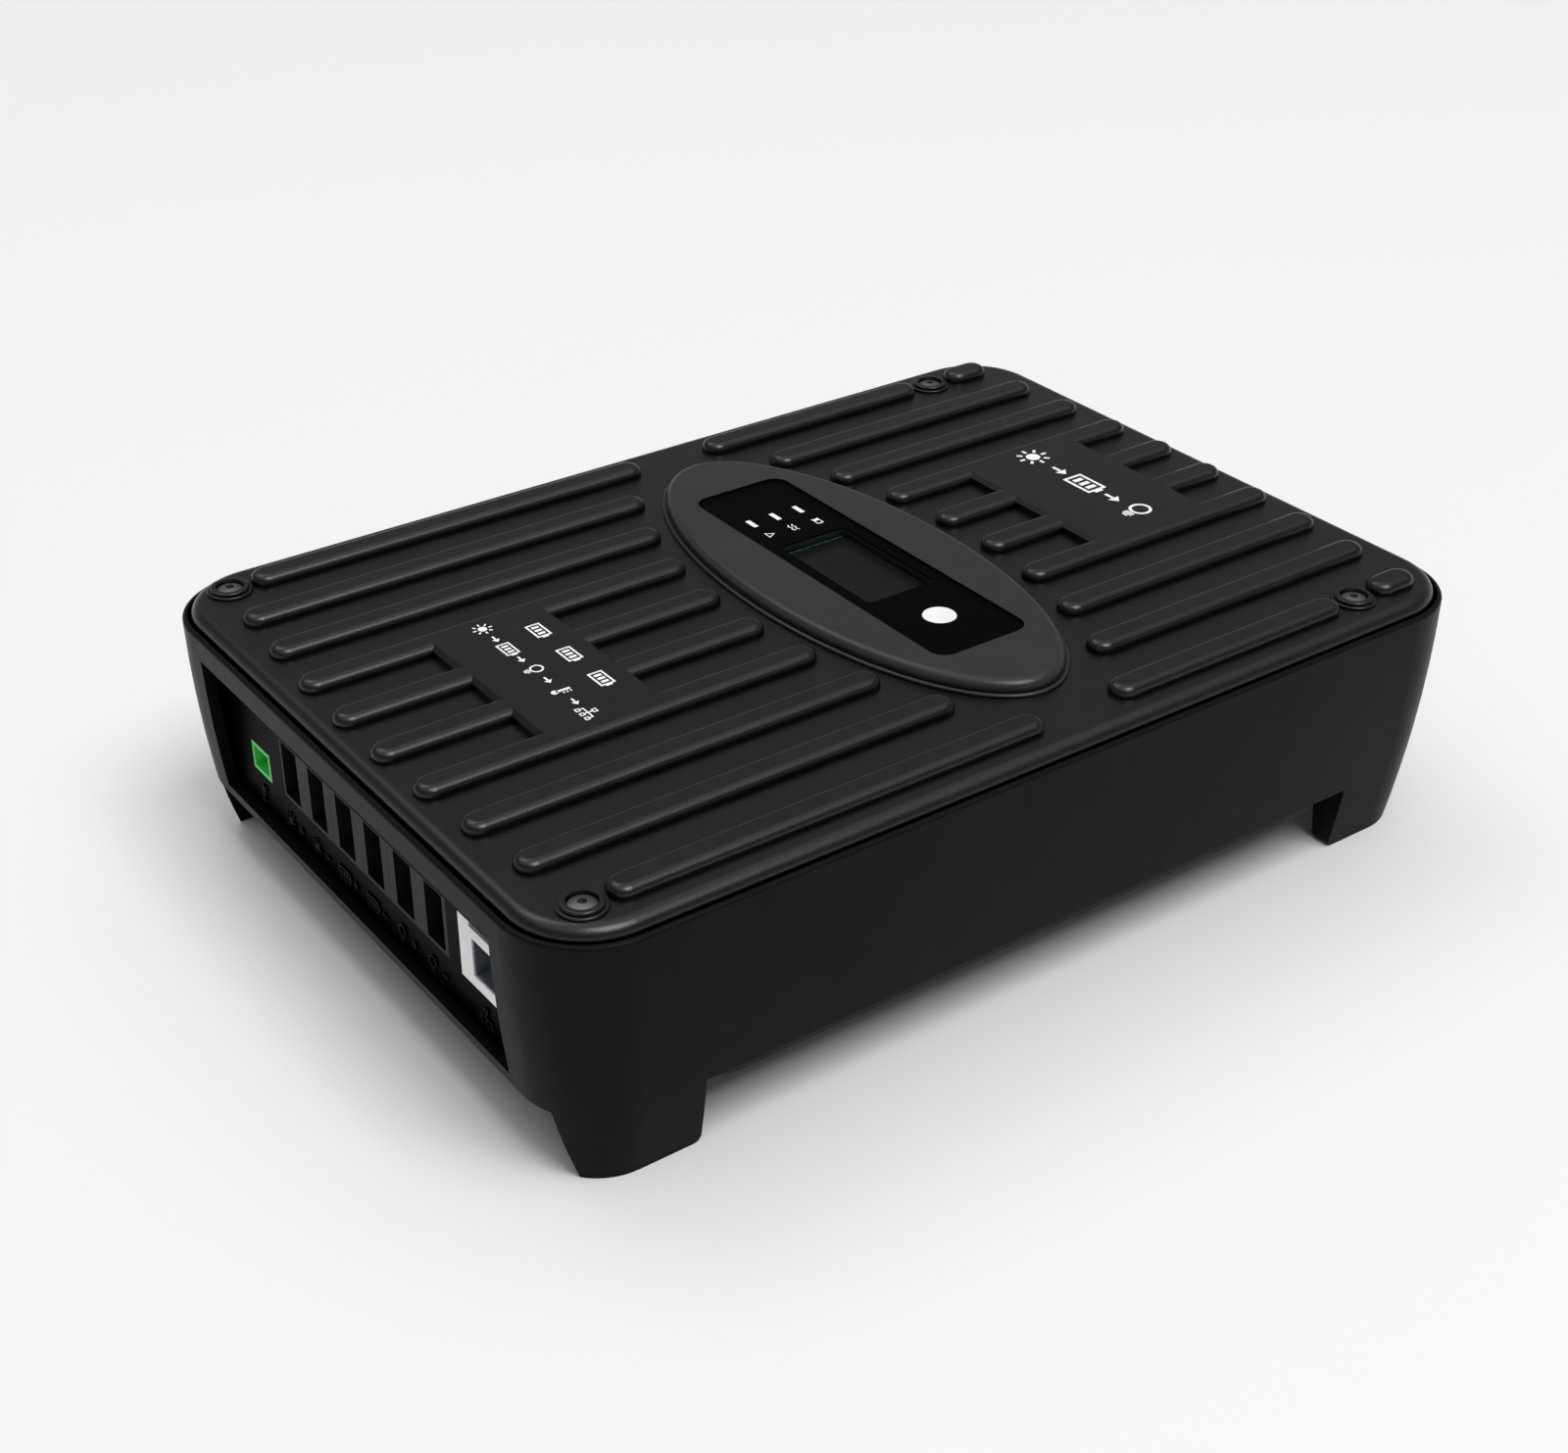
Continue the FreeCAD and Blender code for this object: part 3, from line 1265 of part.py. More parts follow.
def make_temp_socket():
    """The two-pin sensor socket."""
    front = -S.panel_front
    case = box("socket_case", front, -S.socket_back, *SOCKET)
    cavity = box("socket_cavity", front - PAST, -S.socket_floor, *grown(SOCKET, -S.socket_rim))
    middle = (S.socket_low + S.socket_high) / 2
    half, play, height = S.pin_half, S.pin_play, S.pin_height
    ways, pins = [], []
    for k, side in enumerate((-1, 1)):
        y = middle + side * S.pin_pitch / 2
        ways.append(box(f"socket_way_{k}", -S.socket_floor - PAST, -S.socket_back + PAST,
                        *about(y, half + play), *about(height, half + play)))
        along = box(f"pin_along_{k}", -S.pin_front, -S.pin_back, *about(y, half), *about(height, half))
        down = box(f"pin_down_{k}", -S.pin_back - 2 * half, -S.pin_back, *about(y, half), S.board_top,
                   height + half)
        pins.append(fuse(f"socket_pin_{k}", along, down))
    node(cut("socket", case, cavity, *ways), "temp_socket")
    node(group("socket_pins", *pins), "temp_socket_pins")


def check_all():
    """Stops if any object of the document failed, or any node isn't made of good solids."""
    DOC.recompute()
    failed = [thing.Name for thing in DOC.Objects if {"Invalid", "Error"} & set(thing.State)]
    if failed:
        raise RuntimeError(f"failed: {failed}")
    for thing in NODES:
        if thing.Shape.isNull() or not thing.Shape.isValid() or not thing.Shape.Solids:
            raise RuntimeError(f"{thing.Label} has no good solid")


def main():
    make_shroud()
    make_lid()
    make_lid_screws()
    make_display()
    make_base()
    make_boards()
    make_transistors()
    make_power_stage()
    make_ribbon()
    make_blocks()
    make_clamps()
    make_end_panel()
    make_jack()
    make_temp_socket()
    check_all()
    os.makedirs("parts", exist_ok=True)
    for thing in NODES:
        thing.Shape.exportStep(os.path.join("parts", f"{thing.Label}.step"))
        print(thing.Label, len(thing.Shape.Solids), round(thing.Shape.Volume, 1))


main()
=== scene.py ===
import json
import math

import bmesh
import bpy
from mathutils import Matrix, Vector


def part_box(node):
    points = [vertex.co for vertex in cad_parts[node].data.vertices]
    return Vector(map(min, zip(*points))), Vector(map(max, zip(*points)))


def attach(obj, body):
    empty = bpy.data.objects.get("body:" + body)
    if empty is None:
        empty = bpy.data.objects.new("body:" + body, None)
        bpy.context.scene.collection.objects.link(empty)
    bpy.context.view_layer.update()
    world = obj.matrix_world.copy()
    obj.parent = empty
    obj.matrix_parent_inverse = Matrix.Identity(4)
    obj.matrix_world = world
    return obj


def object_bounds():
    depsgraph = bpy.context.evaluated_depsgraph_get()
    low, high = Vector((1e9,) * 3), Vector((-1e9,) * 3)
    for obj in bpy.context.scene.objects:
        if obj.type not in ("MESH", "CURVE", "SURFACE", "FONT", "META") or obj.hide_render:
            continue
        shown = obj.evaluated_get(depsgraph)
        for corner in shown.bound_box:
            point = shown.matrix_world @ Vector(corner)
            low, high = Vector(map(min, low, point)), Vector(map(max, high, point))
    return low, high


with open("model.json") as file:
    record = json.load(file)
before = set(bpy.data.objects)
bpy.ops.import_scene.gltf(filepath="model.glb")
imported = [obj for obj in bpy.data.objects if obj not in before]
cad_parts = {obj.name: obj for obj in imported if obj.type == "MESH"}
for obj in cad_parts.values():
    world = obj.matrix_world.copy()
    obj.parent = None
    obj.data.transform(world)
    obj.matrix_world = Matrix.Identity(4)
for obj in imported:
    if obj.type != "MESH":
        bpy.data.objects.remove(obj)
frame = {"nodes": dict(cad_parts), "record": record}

CAD_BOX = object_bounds()
MM = 0.001
NODES = frame["nodes"]

# ---- materials ------------------------------------------------------------------------------------

# how often Blender's wave texture repeats in one unit at scale 1
WAVES_PER_UNIT = 3.2
# how sharp an edge has to be to stay sharp in the shading
SHARP_EDGE = math.radians(28)


class Finish:
    """A material under construction: its shader, its nodes and the coordinates that they read."""

    def __init__(self, name, colour, roughness, metallic=0.0):
        self.material = bpy.data.materials.new(name)
        self.material.use_nodes = True
        self.tree = self.material.node_tree
        self.shader = self.tree.nodes["Principled BSDF"]
        self.place = self.tree.nodes.new("ShaderNodeTexCoord").outputs["Object"]
        self.colour = colour
        self.height = None
        self.painted_shade_factor = None
        self.set("Base Color", (*colour, 1))
        self.set("Roughness", roughness)
        self.set("Metallic", metallic)

    def set(self, socket, value):
        self.shader.inputs[socket].default_value = value
        return self

    def link(self, source, socket):
        self.tree.links.new(source, self.shader.inputs[socket])

    def stretched(self, stretch):
        """The coordinates scaled along x, y and z, for grain that runs one way."""
        mapping = self.tree.nodes.new("ShaderNodeMapping")
        mapping.inputs["Scale"].default_value = stretch
        self.tree.links.new(self.place, mapping.inputs["Vector"])
        return mapping.outputs["Vector"]

    def noise(self, grain, detail=3.0, stretch=None):
        """Noise whose features are about grain across, in metres."""
        noise = self.tree.nodes.new("ShaderNodeTexNoise")
        noise.inputs["Scale"].default_value = 1 / grain
        noise.inputs["Detail"].default_value = detail
        self.tree.links.new(self.stretched(stretch) if stretch else self.place, noise.inputs["Vector"])
        return noise.outputs["Fac"]

    def cells(self, grain):
        """Rounded cells about grain across, in metres."""
        cells = self.tree.nodes.new("ShaderNodeTexVoronoi")
        cells.inputs["Scale"].default_value = 1 / grain
        self.tree.links.new(self.place, cells.inputs["Vector"])
        return cells.outputs["Distance"]

    def bands(self, pitch, direction="X"):
        """Parallel bands this far apart, in metres."""
        wave = self.tree.nodes.new("ShaderNodeTexWave")
        wave.bands_direction = direction
        wave.inputs["Scale"].default_value = 1 / pitch / WAVES_PER_UNIT
        self.tree.links.new(self.place, wave.inputs["Vector"])
        return wave.outputs["Fac"]

    def spread(self, source, socket, low, high):
        """Runs a socket of the shader from low to high as the source goes from 0 to 1."""
        scale = self.tree.nodes.new("ShaderNodeMapRange")
        scale.inputs["To Min"].default_value = low
        scale.inputs["To Max"].default_value = high
        self.tree.links.new(source, scale.inputs["Value"])
        self.link(scale.outputs["Result"], socket)
        return self

    def tint(self, source, low, high, start=0.3, stop=0.7):
        """Runs the base colour from low to high times the finish's own colour, darkened by the painted
        crease shade where that is set.
        """
        ramp = self.tree.nodes.new("ShaderNodeValToRGB")
        for element, where, factor in zip(ramp.color_ramp.elements, (start, stop), (low, high)):
            element.position = where
            element.color = (*(min(c * factor, 1) for c in self.colour), 1)
        self.tree.links.new(source, ramp.inputs["Fac"])
        shade = ramp.outputs["Color"]
        # painted shade: the colour is multiplied by the ambient occlusion share, so creases come out darker
        if self.painted_shade_factor:
            scale = self.tree.nodes.new("ShaderNodeVectorMath")
            scale.operation = "SCALE"
            self.tree.links.new(shade, scale.inputs["Vector"])
            self.tree.links.new(self.painted_shade_factor, scale.inputs["Scale"])
            shade = scale.outputs["Vector"]
        self.link(shade, "Base Color")
        return self

    def painted_crease_shade(self, reach):
        """Darkens the colour in creases narrower than reach, in metres, as painted shade from ambient
        occlusion. It comes before tint.
        """
        closed, open_face = 0.55, 0.95
        occlusion = self.tree.nodes.new("ShaderNodeAmbientOcclusion")
        occlusion.inputs["Distance"].default_value = reach
        occlusion.samples = 8
        share = self.tree.nodes.new("ShaderNodeMapRange")
        share.inputs["From Min"].default_value = closed
        share.inputs["From Max"].default_value = open_face
        self.tree.links.new(occlusion.outputs["AO"], share.inputs["Value"])
        self.painted_shade_factor = share.outputs["Result"]
        return self

    def bump(self, source, depth):
        """Adds relief of this depth, in metres."""
        bump = self.tree.nodes.new("ShaderNodeBump")
        bump.inputs["Distance"].default_value = depth
        bump.inputs["Strength"].default_value = 1.0
        self.tree.links.new(source, bump.inputs["Height"])
        if self.height:
            self.tree.links.new(self.height, bump.inputs["Normal"])
        self.height = bump.outputs["Normal"]
        self.link(self.height, "Normal")
        return self


def moulded(name, colour, roughness, texture=0.5 * MM, depth=0.006 * MM, shine=0.5, painted_crease_shade=0.0):
    """Injection-moulded plastic with a fine eroded texture, with painted shade darkening its creases if a
    crease reach is given.
    """
    finish = Finish(name, colour, roughness).set("Specular IOR Level", shine)
    if painted_crease_shade:
        finish.painted_crease_shade(painted_crease_shade)
    finish.tint(finish.noise(18 * MM, 4), 0.9, 1.12)
    finish.spread(finish.noise(7 * MM, 5), "Roughness", roughness - 0.05, roughness + 0.06)
    finish.bump(finish.noise(texture, 2), depth).bump(finish.cells(texture * 0.6), depth * 0.4)
    return finish


def gloss(name, colour, roughness, coat=0.4):
    """A smooth film or case with a faint waviness."""
    finish = Finish(name, colour, roughness)
    finish.set("Coat Weight", coat).set("Coat Roughness", 0.08)
    finish.tint(finish.noise(6 * MM), 0.92, 1.08)
    finish.spread(finish.noise(2 * MM, 4), "Roughness", roughness, roughness + 0.05)
    return finish.bump(finish.noise(9 * MM, 1), 0.004 * MM)


def drawn_metal(name, colour, roughness, stretch=(1, 1, 12)):
    """Metal with drawing or turning marks."""
    finish = Finish(name, colour, roughness, metallic=1.0)
    grain = finish.noise(0.35 * MM, 4, stretch)
    finish.tint(finish.noise(3 * MM), 0.85, 1.1)
    finish.spread(grain, "Roughness", roughness - 0.08, roughness + 0.12)
    return finish.bump(grain, 0.006 * MM)


def circuit_board():
    finish = Finish("circuit_board", (0.012, 0.12, 0.04), 0.32)
    finish.tint(finish.bands(2.5 * MM), 0.8, 1.5, 0.72, 0.82)
    finish.spread(finish.noise(1.2 * MM), "Roughness", 0.25, 0.42)
    finish.bump(finish.bands(2.5 * MM), 0.02 * MM)
    return finish.set("Coat Weight", 0.3)


def ribbon_cable():
    finish = Finish("ribbon_cable", (0.42, 0.42, 0.43), 0.45)
    strands = finish.bands(1.27 * MM, "Y")
    return finish.tint(strands, 0.7, 1.05).bump(strands, 0.12 * MM)


def lcd_face():
    """Unlit display glass: dark, smooth, with a faint cell grain under it."""
    finish = Finish("lcd_face", (0.0065, 0.0075, 0.0072), 0.24)
    finish.tint(finish.noise(12 * MM, 2), 0.85, 1.2)
    finish.spread(finish.noise(1.5 * MM), "Roughness", 0.2, 0.3)
    return finish.set("Specular IOR Level", 0.12)


def overlay_film():
    """The display's dead black printed film."""
    return gloss("overlay_film", (0.0006, 0.0006, 0.0006), 0.4, 0.0).set("Specular IOR Level", 0.02)


HOUSING = (0.0052, 0.0052, 0.0054)
# the lid's and the end panel's colours are darker copies of the housing colour: painted shade
LID_SHADED = (0.0028, 0.0028, 0.0029)
PANEL_SHADED = (0.0018, 0.0018, 0.0019)
BEZEL = (0.021, 0.021, 0.0212)
# the crease reaches given to the housing, panel, lid and bezel finishes set how far painted shade darkens
# their creases
FINISHES = {
    "housing_plastic": lambda: moulded("housing_plastic", HOUSING, 0.38, shine=0.06, painted_crease_shade=2 * MM),
    "panel_plastic_shaded": lambda: moulded("panel_plastic_shaded", PANEL_SHADED, 0.42, shine=0.02, painted_crease_shade=3 * MM),
    "lid_plastic_shade_and_sheen": lambda: moulded("lid_plastic_shade_and_sheen", LID_SHADED, 0.28, shine=0.5, painted_crease_shade=2.4 * MM),
    "bezel_plastic": lambda: moulded("bezel_plastic", BEZEL, 0.32, 0.4 * MM, shine=0.4, painted_crease_shade=2 * MM),
    "overlay_film": overlay_film,
    "lcd": lcd_face,
    "white_plastic": lambda: moulded("white_plastic", (0.93, 0.93, 0.925), 0.4, 0.3 * MM, 0.003 * MM),
    "green_plastic": lambda: moulded("green_plastic", (0.06, 0.62, 0.1), 0.35, 0.3 * MM, 0.003 * MM),
    "dark_metal": lambda: drawn_metal("dark_metal", (0.16, 0.16, 0.165), 0.5),
    "steel": lambda: drawn_metal("steel", (0.56, 0.56, 0.58), 0.28),
    "brass": lambda: drawn_metal("brass", (0.68, 0.55, 0.3), 0.3, (1, 12, 1)),
    "gold": lambda: drawn_metal("gold", (0.85, 0.6, 0.22), 0.2, (1, 12, 1)),
    "heat_sink": lambda: drawn_metal("heat_sink", (0.035, 0.035, 0.037), 0.5, (0.08, 1, 1)),
    "bare_aluminium": lambda: drawn_metal("bare_aluminium", (0.7, 0.7, 0.71), 0.33, (0.08, 1, 1)),
    "circuit_board": circuit_board,
    "component_black": lambda: moulded("component_black", HOUSING, 0.5, 0.25 * MM, shine=0.2),
    "ferrite": lambda: moulded("ferrite", (0.04, 0.045, 0.05), 0.7, 0.3 * MM, 0.02 * MM),
    "copper": lambda: gloss("copper", (0.55, 0.2, 0.07), 0.25).set("Metallic", 0.9),
    "can_sleeve": lambda: gloss("can_sleeve", (0.01, 0.015, 0.05), 0.25),
    "thermal_sheet": lambda: moulded("thermal_sheet", (0.35, 0.38, 0.4), 0.8, 0.6 * MM, 0.02 * MM),
    "ribbon_grey": ribbon_cable,
    "fuse_plastic": lambda: gloss("fuse_plastic", (0.65, 0.2, 0.02), 0.2),
    "led_yellow": lambda: gloss("led_yellow", (0.8, 0.75, 0.45), 0.25),
    "liner_grey": lambda: moulded("liner_grey", (0.1, 0.115, 0.14), 0.5, 0.3 * MM),
}
# the lid and the end panel get copies of the housing plastic tuned to how light falls on them: the lid's
# colour is darker, a painted shade that keeps its flat top black, and it has a little more sheen than the
# rest of the housing for brighter rib highlights; the end panel's colour is darker, a painted shade, and it
# has a little less sheen
SHADED_COPY_FINISH = {"top_lid": "lid_plastic_shade_and_sheen", "end_panel": "panel_plastic_shaded"}


def printed_white():
    """Screen-printed ink: slightly uneven, with a soft sheen."""
    finish = Finish("printed_white", (0.96, 0.96, 0.96), 0.55)
    finish.tint(finish.noise(1.5 * MM, 4), 0.94, 1.05)
    finish.bump(finish.noise(0.3 * MM), 0.004 * MM)
    return finish.material


def dress_cad_nodes():
    """Gives each CAD node its finish and smooth shading, and returns the materials by finish."""
    made = {}
    for part in frame["record"]["subparts"]:
        finish = SHADED_COPY_FINISH.get(part["node"], part["material_slot"])
        if finish not in made:
            made[finish] = FINISHES[finish]().material
        mesh = NODES[part["node"]].data
        mesh.materials.clear()
        mesh.materials.append(made[finish])
        mesh.shade_smooth()
        mesh.set_sharp_from_angle(angle=SHARP_EDGE)
    return made


# ---- flat marks -----------------------------------------------------------------------------------

# how far a mark reaches into its face, so that no gap shows
SINK = 0.01 * MM
# the corners of a rectangle, turning left
CORNERS = ((-1, -1), (1, -1), (1, 1), (-1, 1))


class Stamp:
    """A sheet of flat marks on a face: each mark is drawn across and up from a point of that face."""

    def __init__(self, name, origin, across, up, height):
        self.name = name
        self.origin = Vector(origin)
        self.across = Vector(across)
        self.up = Vector(up)
        self.out = self.across.cross(self.up)
        self.height = height
        self.mesh = bmesh.new()

    def point(self, u, v, w):
        return self.mesh.verts.new(self.origin + self.across * u + self.up * v + self.out * w)

    def shape(self, outline):
        """A solid mark from one closed outline of (u, v) points that turns left."""
        low = [self.point(u, v, -SINK) for u, v in outline]
        high = [self.point(u, v, self.height) for u, v in outline]
        self.mesh.faces.new(high)
        self.mesh.faces.new(low[::-1])
        for k in range(len(outline)):
            self.mesh.faces.new((low[k - 1], low[k], high[k], high[k - 1]))

    def band(self, outer, inner):
        """A solid mark between two outlines with the same number of points."""
        rings = [[self.point(u, v, w) for u, v in line] for line in (outer, inner)
                 for w in (-SINK, self.height)]
        out_low, out_high, in_low, in_high = rings
        for k in range(len(outer)):
            self.mesh.faces.new((out_low[k - 1], out_low[k], out_high[k], out_high[k - 1]))
            self.mesh.faces.new((out_high[k - 1], out_high[k], in_high[k], in_high[k - 1]))
            self.mesh.faces.new((in_high[k - 1], in_high[k], in_low[k], in_low[k - 1]))
            self.mesh.faces.new((in_low[k - 1], in_low[k], out_low[k], out_low[k - 1]))

    def bar(self, u, v, width, height, turn=0.0):
        """A rectangle about its centre."""
        c, s = math.cos(turn), math.sin(turn)
        self.shape([(u + a * width / 2 * c - b * height / 2 * s, v + a * width / 2 * s + b * height / 2 * c)
                    for a, b in CORNERS])

    def disc(self, u, v, radius):
        self.shape(ring(u, v, radius))

    def hoop(self, u, v, radius, line):
        self.band(ring(u, v, radius), ring(u, v, radius - line))

    def frame(self, u, v, width, height, line):
        """A rectangular outline about its centre."""
        def corners(half_width, half_height):
            return [(u + a * half_width, v + b * half_height) for a, b in CORNERS]
        self.band(corners(width / 2, height / 2), corners(width / 2 - line, height / 2 - line))

    def finish(self, material, body="housing", slot="white_plastic"):
        """Makes the marks one piece that rides on the body, in the given material; the slot argument is not
        used.
        """
        bmesh.ops.recalc_face_normals(self.mesh, faces=self.mesh.faces)
        data = bpy.data.meshes.new(self.name)
        self.mesh.to_mesh(data)
        self.mesh.free()
        piece = bpy.data.objects.new(self.name, data)
        bpy.context.scene.collection.objects.link(piece)
        data.materials.append(material)
        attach(piece, body)


def ring(u, v, radius, count=40):
    """The points of a circle."""
    turns = [2 * math.pi * k / count for k in range(count)]
    return [(u + radius * math.cos(t), v + radius * math.sin(t)) for t in turns]


# Each sign is drawn about (u, v), and its measures are shares of its height, tall.


def sun(stamp, u, v, tall):
    stamp.disc(u, v, 0.22 * tall)
    for k in range(8):
        turn = math.pi * k / 4
        across, along = 0.41 * tall * math.cos(turn), 0.41 * tall * math.sin(turn)
        stamp.bar(u + across, v + along, 0.18 * tall, 0.09 * tall, turn)


def battery(stamp, u, v, tall):
    wide, high, line = 1.15 * tall, 0.7 * tall, 0.09 * tall
    stamp.frame(u, v, wide, high, line)
    stamp.bar(u + wide / 2 + 0.05 * tall, v, 0.1 * tall, 0.3 * tall)
    for k in (-1, 0, 1):
        stamp.bar(u + 0.28 * tall * k, v, 0.16 * tall, high - 4 * line)


def lamp(stamp, u, v, tall):
    stamp.hoop(u, v + 0.14 * tall, 0.34 * tall, 0.09 * tall)
    for k, wide in enumerate((0.34, 0.34, 0.2)):
        stamp.bar(u, v - (0.27 + 0.1 * k) * tall, wide * tall, 0.065 * tall)


def arrow(stamp, u, v, tall):
    stamp.bar(u - 0.1 * tall, v, 0.36 * tall, 0.1 * tall)
    head, tip, half = u + 0.06 * tall, u + 0.32 * tall, 0.2 * tall
    stamp.shape([(head, v - half), (tip, v), (head, v + half)])


def plus(stamp, u, v, tall):
    arm, line = 0.5 * tall, 0.13 * tall
    stamp.bar(u, v, arm, line)
    for side in (-1, 1):
        stamp.bar(u, v + side * (arm + line) / 4, line, (arm - line) / 2)


def minus(stamp, u, v, tall):
    stamp.bar(u, v, 0.5 * tall, 0.13 * tall)


def thermometer(stamp, u, v, tall):
    stamp.disc(u, v - 0.32 * tall, 0.17 * tall)
    stamp.bar(u, v + 0.1 * tall, 0.15 * tall, 0.74 * tall)
    for k in range(3):
        stamp.bar(u + 0.22 * tall, v + (0.4 - 0.18 * k) * tall, 0.14 * tall, 0.07 * tall)


def network(stamp, u, v, tall):
    side = 0.24 * tall
    stamp.frame(u, v + 0.32 * tall, 1.3 * side, side, 0.06 * tall)
    stamp.bar(u, v + 0.1 * tall, 0.07 * tall, 0.2 * tall)
    stamp.bar(u, v - 0.03 * tall, 0.94 * tall, 0.07 * tall)
    for k in (-1, 0, 1):
        stamp.bar(u + 0.42 * tall * k, v - 0.13 * tall, 0.07 * tall, 0.13 * tall)
        stamp.frame(u + 0.42 * tall * k, v - 0.32 * tall, 1.1 * side, side, 0.06 * tall)


def triangle(stamp, u, v, tall):
    def corners(radius):
        turns = (math.radians(a) for a in (-30, 90, 210))
        return [(u + radius * math.cos(t), v + radius * math.sin(t)) for t in turns]
    stamp.band(corners(0.6 * tall), corners(0.4 * tall))


def ripple(stamp, u, v, tall):
    """Two rows of a wave, from short turned bars."""
    for row in (-1, 1):
        for k in range(4):
            lean = 0.6 if k % 2 else -0.6
            stamp.bar(u + (k - 1.5) * 0.32 * tall, v + row * 0.22 * tall, 0.38 * tall, 0.12 * tall, lean)


def low_battery(stamp, u, v, tall):
    stamp.frame(u + 0.2 * tall, v, 1.1 * tall, 0.72 * tall, 0.1 * tall)
    stamp.bar(u - 0.1 * tall, v, 0.5 * tall, 0.5 * tall)
    stamp.bar(u + 0.8 * tall, v, 0.1 * tall, 0.3 * tall)


def lid_marks(ink):
    """White signs on the lid's two label fields, in rows that run across the lid."""
    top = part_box("top_lid")[1].z
    across, up, ink_depth = (0, -1, 0), (1, 0, 0), 0.04 * MM

    right = Stamp("lid_marks_right", (79.9 * MM, 24 * MM, top), across, up, ink_depth)
    for where, draw in ((4, sun), (13.5, arrow), (22.5, battery), (32, arrow), (40.5, lamp)):
        draw(right, where * MM, 0, 8 * MM)
    right.finish(ink)

    upper = Stamp("lid_marks_upper", (-62.4 * MM, 18 * MM, top), across, up, ink_depth)
    start, pitch = 3.5, 12.5
    for k in range(3):
        battery(upper, (start + pitch * k) * MM, 0, 5 * MM)
    upper.finish(ink)

    lower = Stamp("lid_marks_lower", (-71.7 * MM, 24.4 * MM, top), across, up, ink_depth)
    start, pitch = 2.6, 5.3
    signs = (sun, arrow, battery, arrow, lamp, arrow, thermometer, arrow, network)
    for k, draw in enumerate(signs):
        draw(lower, (start + pitch * k) * MM, 0, 4.5 * MM)
    lower.finish(ink)


def overlay_icons(ink):
    """One small sign beside each of the three light bars."""
    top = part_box("display_overlay")[1].z
    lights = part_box("light_pipes")
    half_bar = 0.6 * MM
    first, last = lights[0].x + half_bar, lights[1].x - half_bar
    stamp = Stamp("overlay_icons", (0, 22 * MM, top), (0, -1, 0), (1, 0, 0), 0.03 * MM)
    for place, draw in ((first, triangle), ((first + last) / 2, ripple), (last, low_battery)):
        draw(stamp, 0, place, 2.4 * MM)
    stamp.finish(ink)


def display_edge(green):
    """The green edge of the display's glass along the far side of its window."""
    low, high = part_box("lcd_glass")
    line, rim, length = 0.3 * MM, 0.5 * MM, 17 * MM
    stamp = Stamp("display_edge", (0, 0, high.z), (1, 0, 0), (0, 1, 0), 0.02 * MM)
    stamp.bar((low.x + high.x) / 2, high.y - rim - line / 2, length, line)
    stamp.finish(green, slot="green_plastic")


def end_marks(plastic):
    """Raised signs of black plastic on the end panel, one or two under each opening."""
    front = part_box("end_panel")[0].x
    stamp = Stamp("end_marks", (front, 0, 23 * MM), (0, -1, 0), (0, 0, 1), 0.45 * MM)
    tall = 4.9 * MM
    kind_shift, pole_shift = -1.9 * MM, 3.1 * MM
    poles = [sum(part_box(f"clamp_cage_{k}")[side].y for side in (0, 1)) / 2 for k in range(1, 7)]
    for k, pole in enumerate(poles):
        draw = (sun, battery, lamp)[k // 2]
        draw(stamp, -pole + kind_shift, 0, tall * 0.9)
        sign = minus if k % 2 else plus
        sign(stamp, -pole + pole_shift, 0, tall * 0.8)
    for node, draw in (("temp_socket", thermometer), ("comms_jack", network)):
        low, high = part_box(node)
        draw(stamp, -(low.y + high.y) / 2, 0, tall)
    stamp.finish(plastic, slot="housing_plastic")


# ---- studio ---------------------------------------------------------------------------------------


# how bright the surroundings are, by the sine of the height above the horizon: a pale horizon, a
# dark band that keeps the lid's flat black, and a bright ceiling
SKY = ((0.0, 0.5), (0.2, 0.36), (0.38, 0.17), (0.56, 0.17), (0.86, 0.93))
MIDDLE = Vector((0, 0, 0.03))


def soft_light(name, place, side, power):
    """A square softbox that faces the object."""
    data = bpy.data.lights.new(name, "AREA")
    data.size = side
    data.energy = power
    light = bpy.data.objects.new(name, data)
    light.location = place
    light.rotation_euler = (MIDDLE - Vector(place)).to_track_quat("-Z", "Y").to_euler()
    bpy.context.scene.collection.objects.link(light)


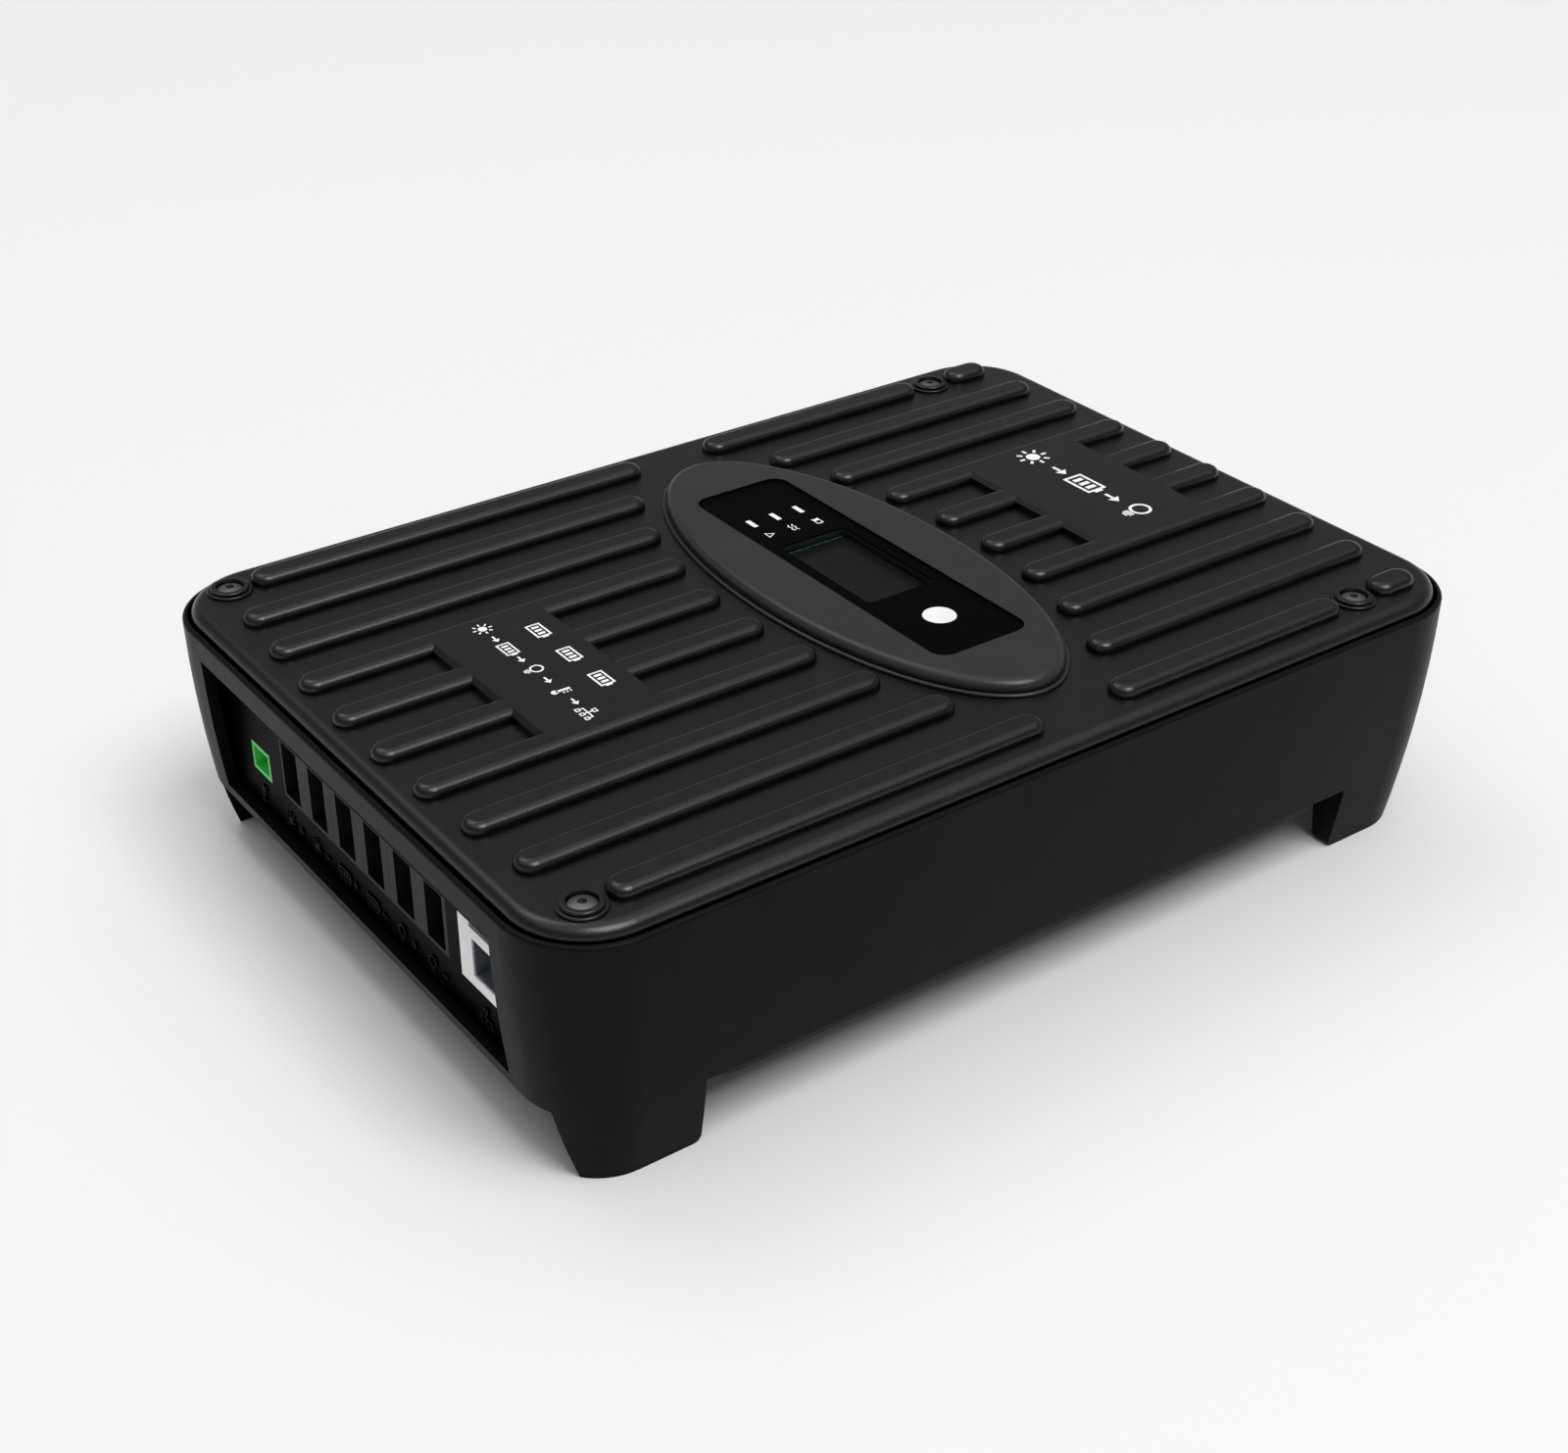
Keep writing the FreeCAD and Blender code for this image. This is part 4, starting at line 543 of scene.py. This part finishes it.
def surroundings():
    """A plain world whose brightness follows SKY."""
    world = bpy.data.worlds.new("studio")
    bpy.context.scene.world = world
    world.use_nodes = True
    background = world.node_tree.nodes["Background"]
    nodes, links = world.node_tree.nodes, world.node_tree.links
    height = nodes.new("ShaderNodeSeparateXYZ")
    links.new(nodes.new("ShaderNodeTexCoord").outputs["Generated"], height.inputs["Vector"])
    sky = nodes.new("ShaderNodeValToRGB")
    steps = sky.color_ramp.elements
    for _ in range(len(SKY) - len(steps)):
        steps.new(0.5)
    for step, (place, level) in zip(steps, SKY):
        step.position = place
        step.color = (level, level, level, 1)
    links.new(height.outputs["Z"], sky.inputs["Fac"])
    links.new(sky.outputs["Color"], background.inputs["Color"])
    background.inputs["Strength"].default_value = 1.0


def studio():
    """A pale floor under the object, the surroundings and two softboxes."""
    low = CAD_BOX[0]
    floor_finish = Finish("studio_floor", (0.86, 0.86, 0.865), 0.7).set("Specular IOR Level", 0.2)
    floor_finish.tint(floor_finish.noise(0.6, 2), 0.995, 1.005)
    bpy.ops.mesh.primitive_plane_add(size=12, location=(0, 0, low[2]))
    floor = bpy.context.object
    floor.name = "studio_floor"
    floor.data.materials.append(floor_finish.material)

    surroundings()
    soft_light("key_soft", (0.25, -2.2, 4.2), 2.6, 126)
    soft_light("back_soft", (-0.4, 1.6, 2.6), 1.4, 9)
    bpy.context.scene.view_settings.view_transform = "Standard"


def camera():
    """Looks down on the terminal end and one long side."""
    azimuth, elevation = math.radians(-35.8), math.radians(30.96)
    distance, lens = 0.523, 54.2
    low, high = (Vector(corner) for corner in CAD_BOX)
    aim = (low + high) / 2 + Vector((-13.7, -6.5, 0.05)) * MM
    away = Vector((math.sin(azimuth) * math.cos(elevation), -math.cos(azimuth) * math.cos(elevation),
                   math.sin(elevation)))
    data = bpy.data.cameras.new("camera")
    data.lens = lens
    data.sensor_width = 36
    view = bpy.data.objects.new("camera", data)
    view.location = aim + away * distance
    view.rotation_euler = (-away).to_track_quat("-Z", "Y").to_euler()
    bpy.context.scene.collection.objects.link(view)
    bpy.context.scene.camera = view


made = dress_cad_nodes()
white_ink = printed_white()
lid_marks(white_ink)
overlay_icons(white_ink)
display_edge(made["circuit_board"])
end_marks(made["housing_plastic"])
studio()
camera()
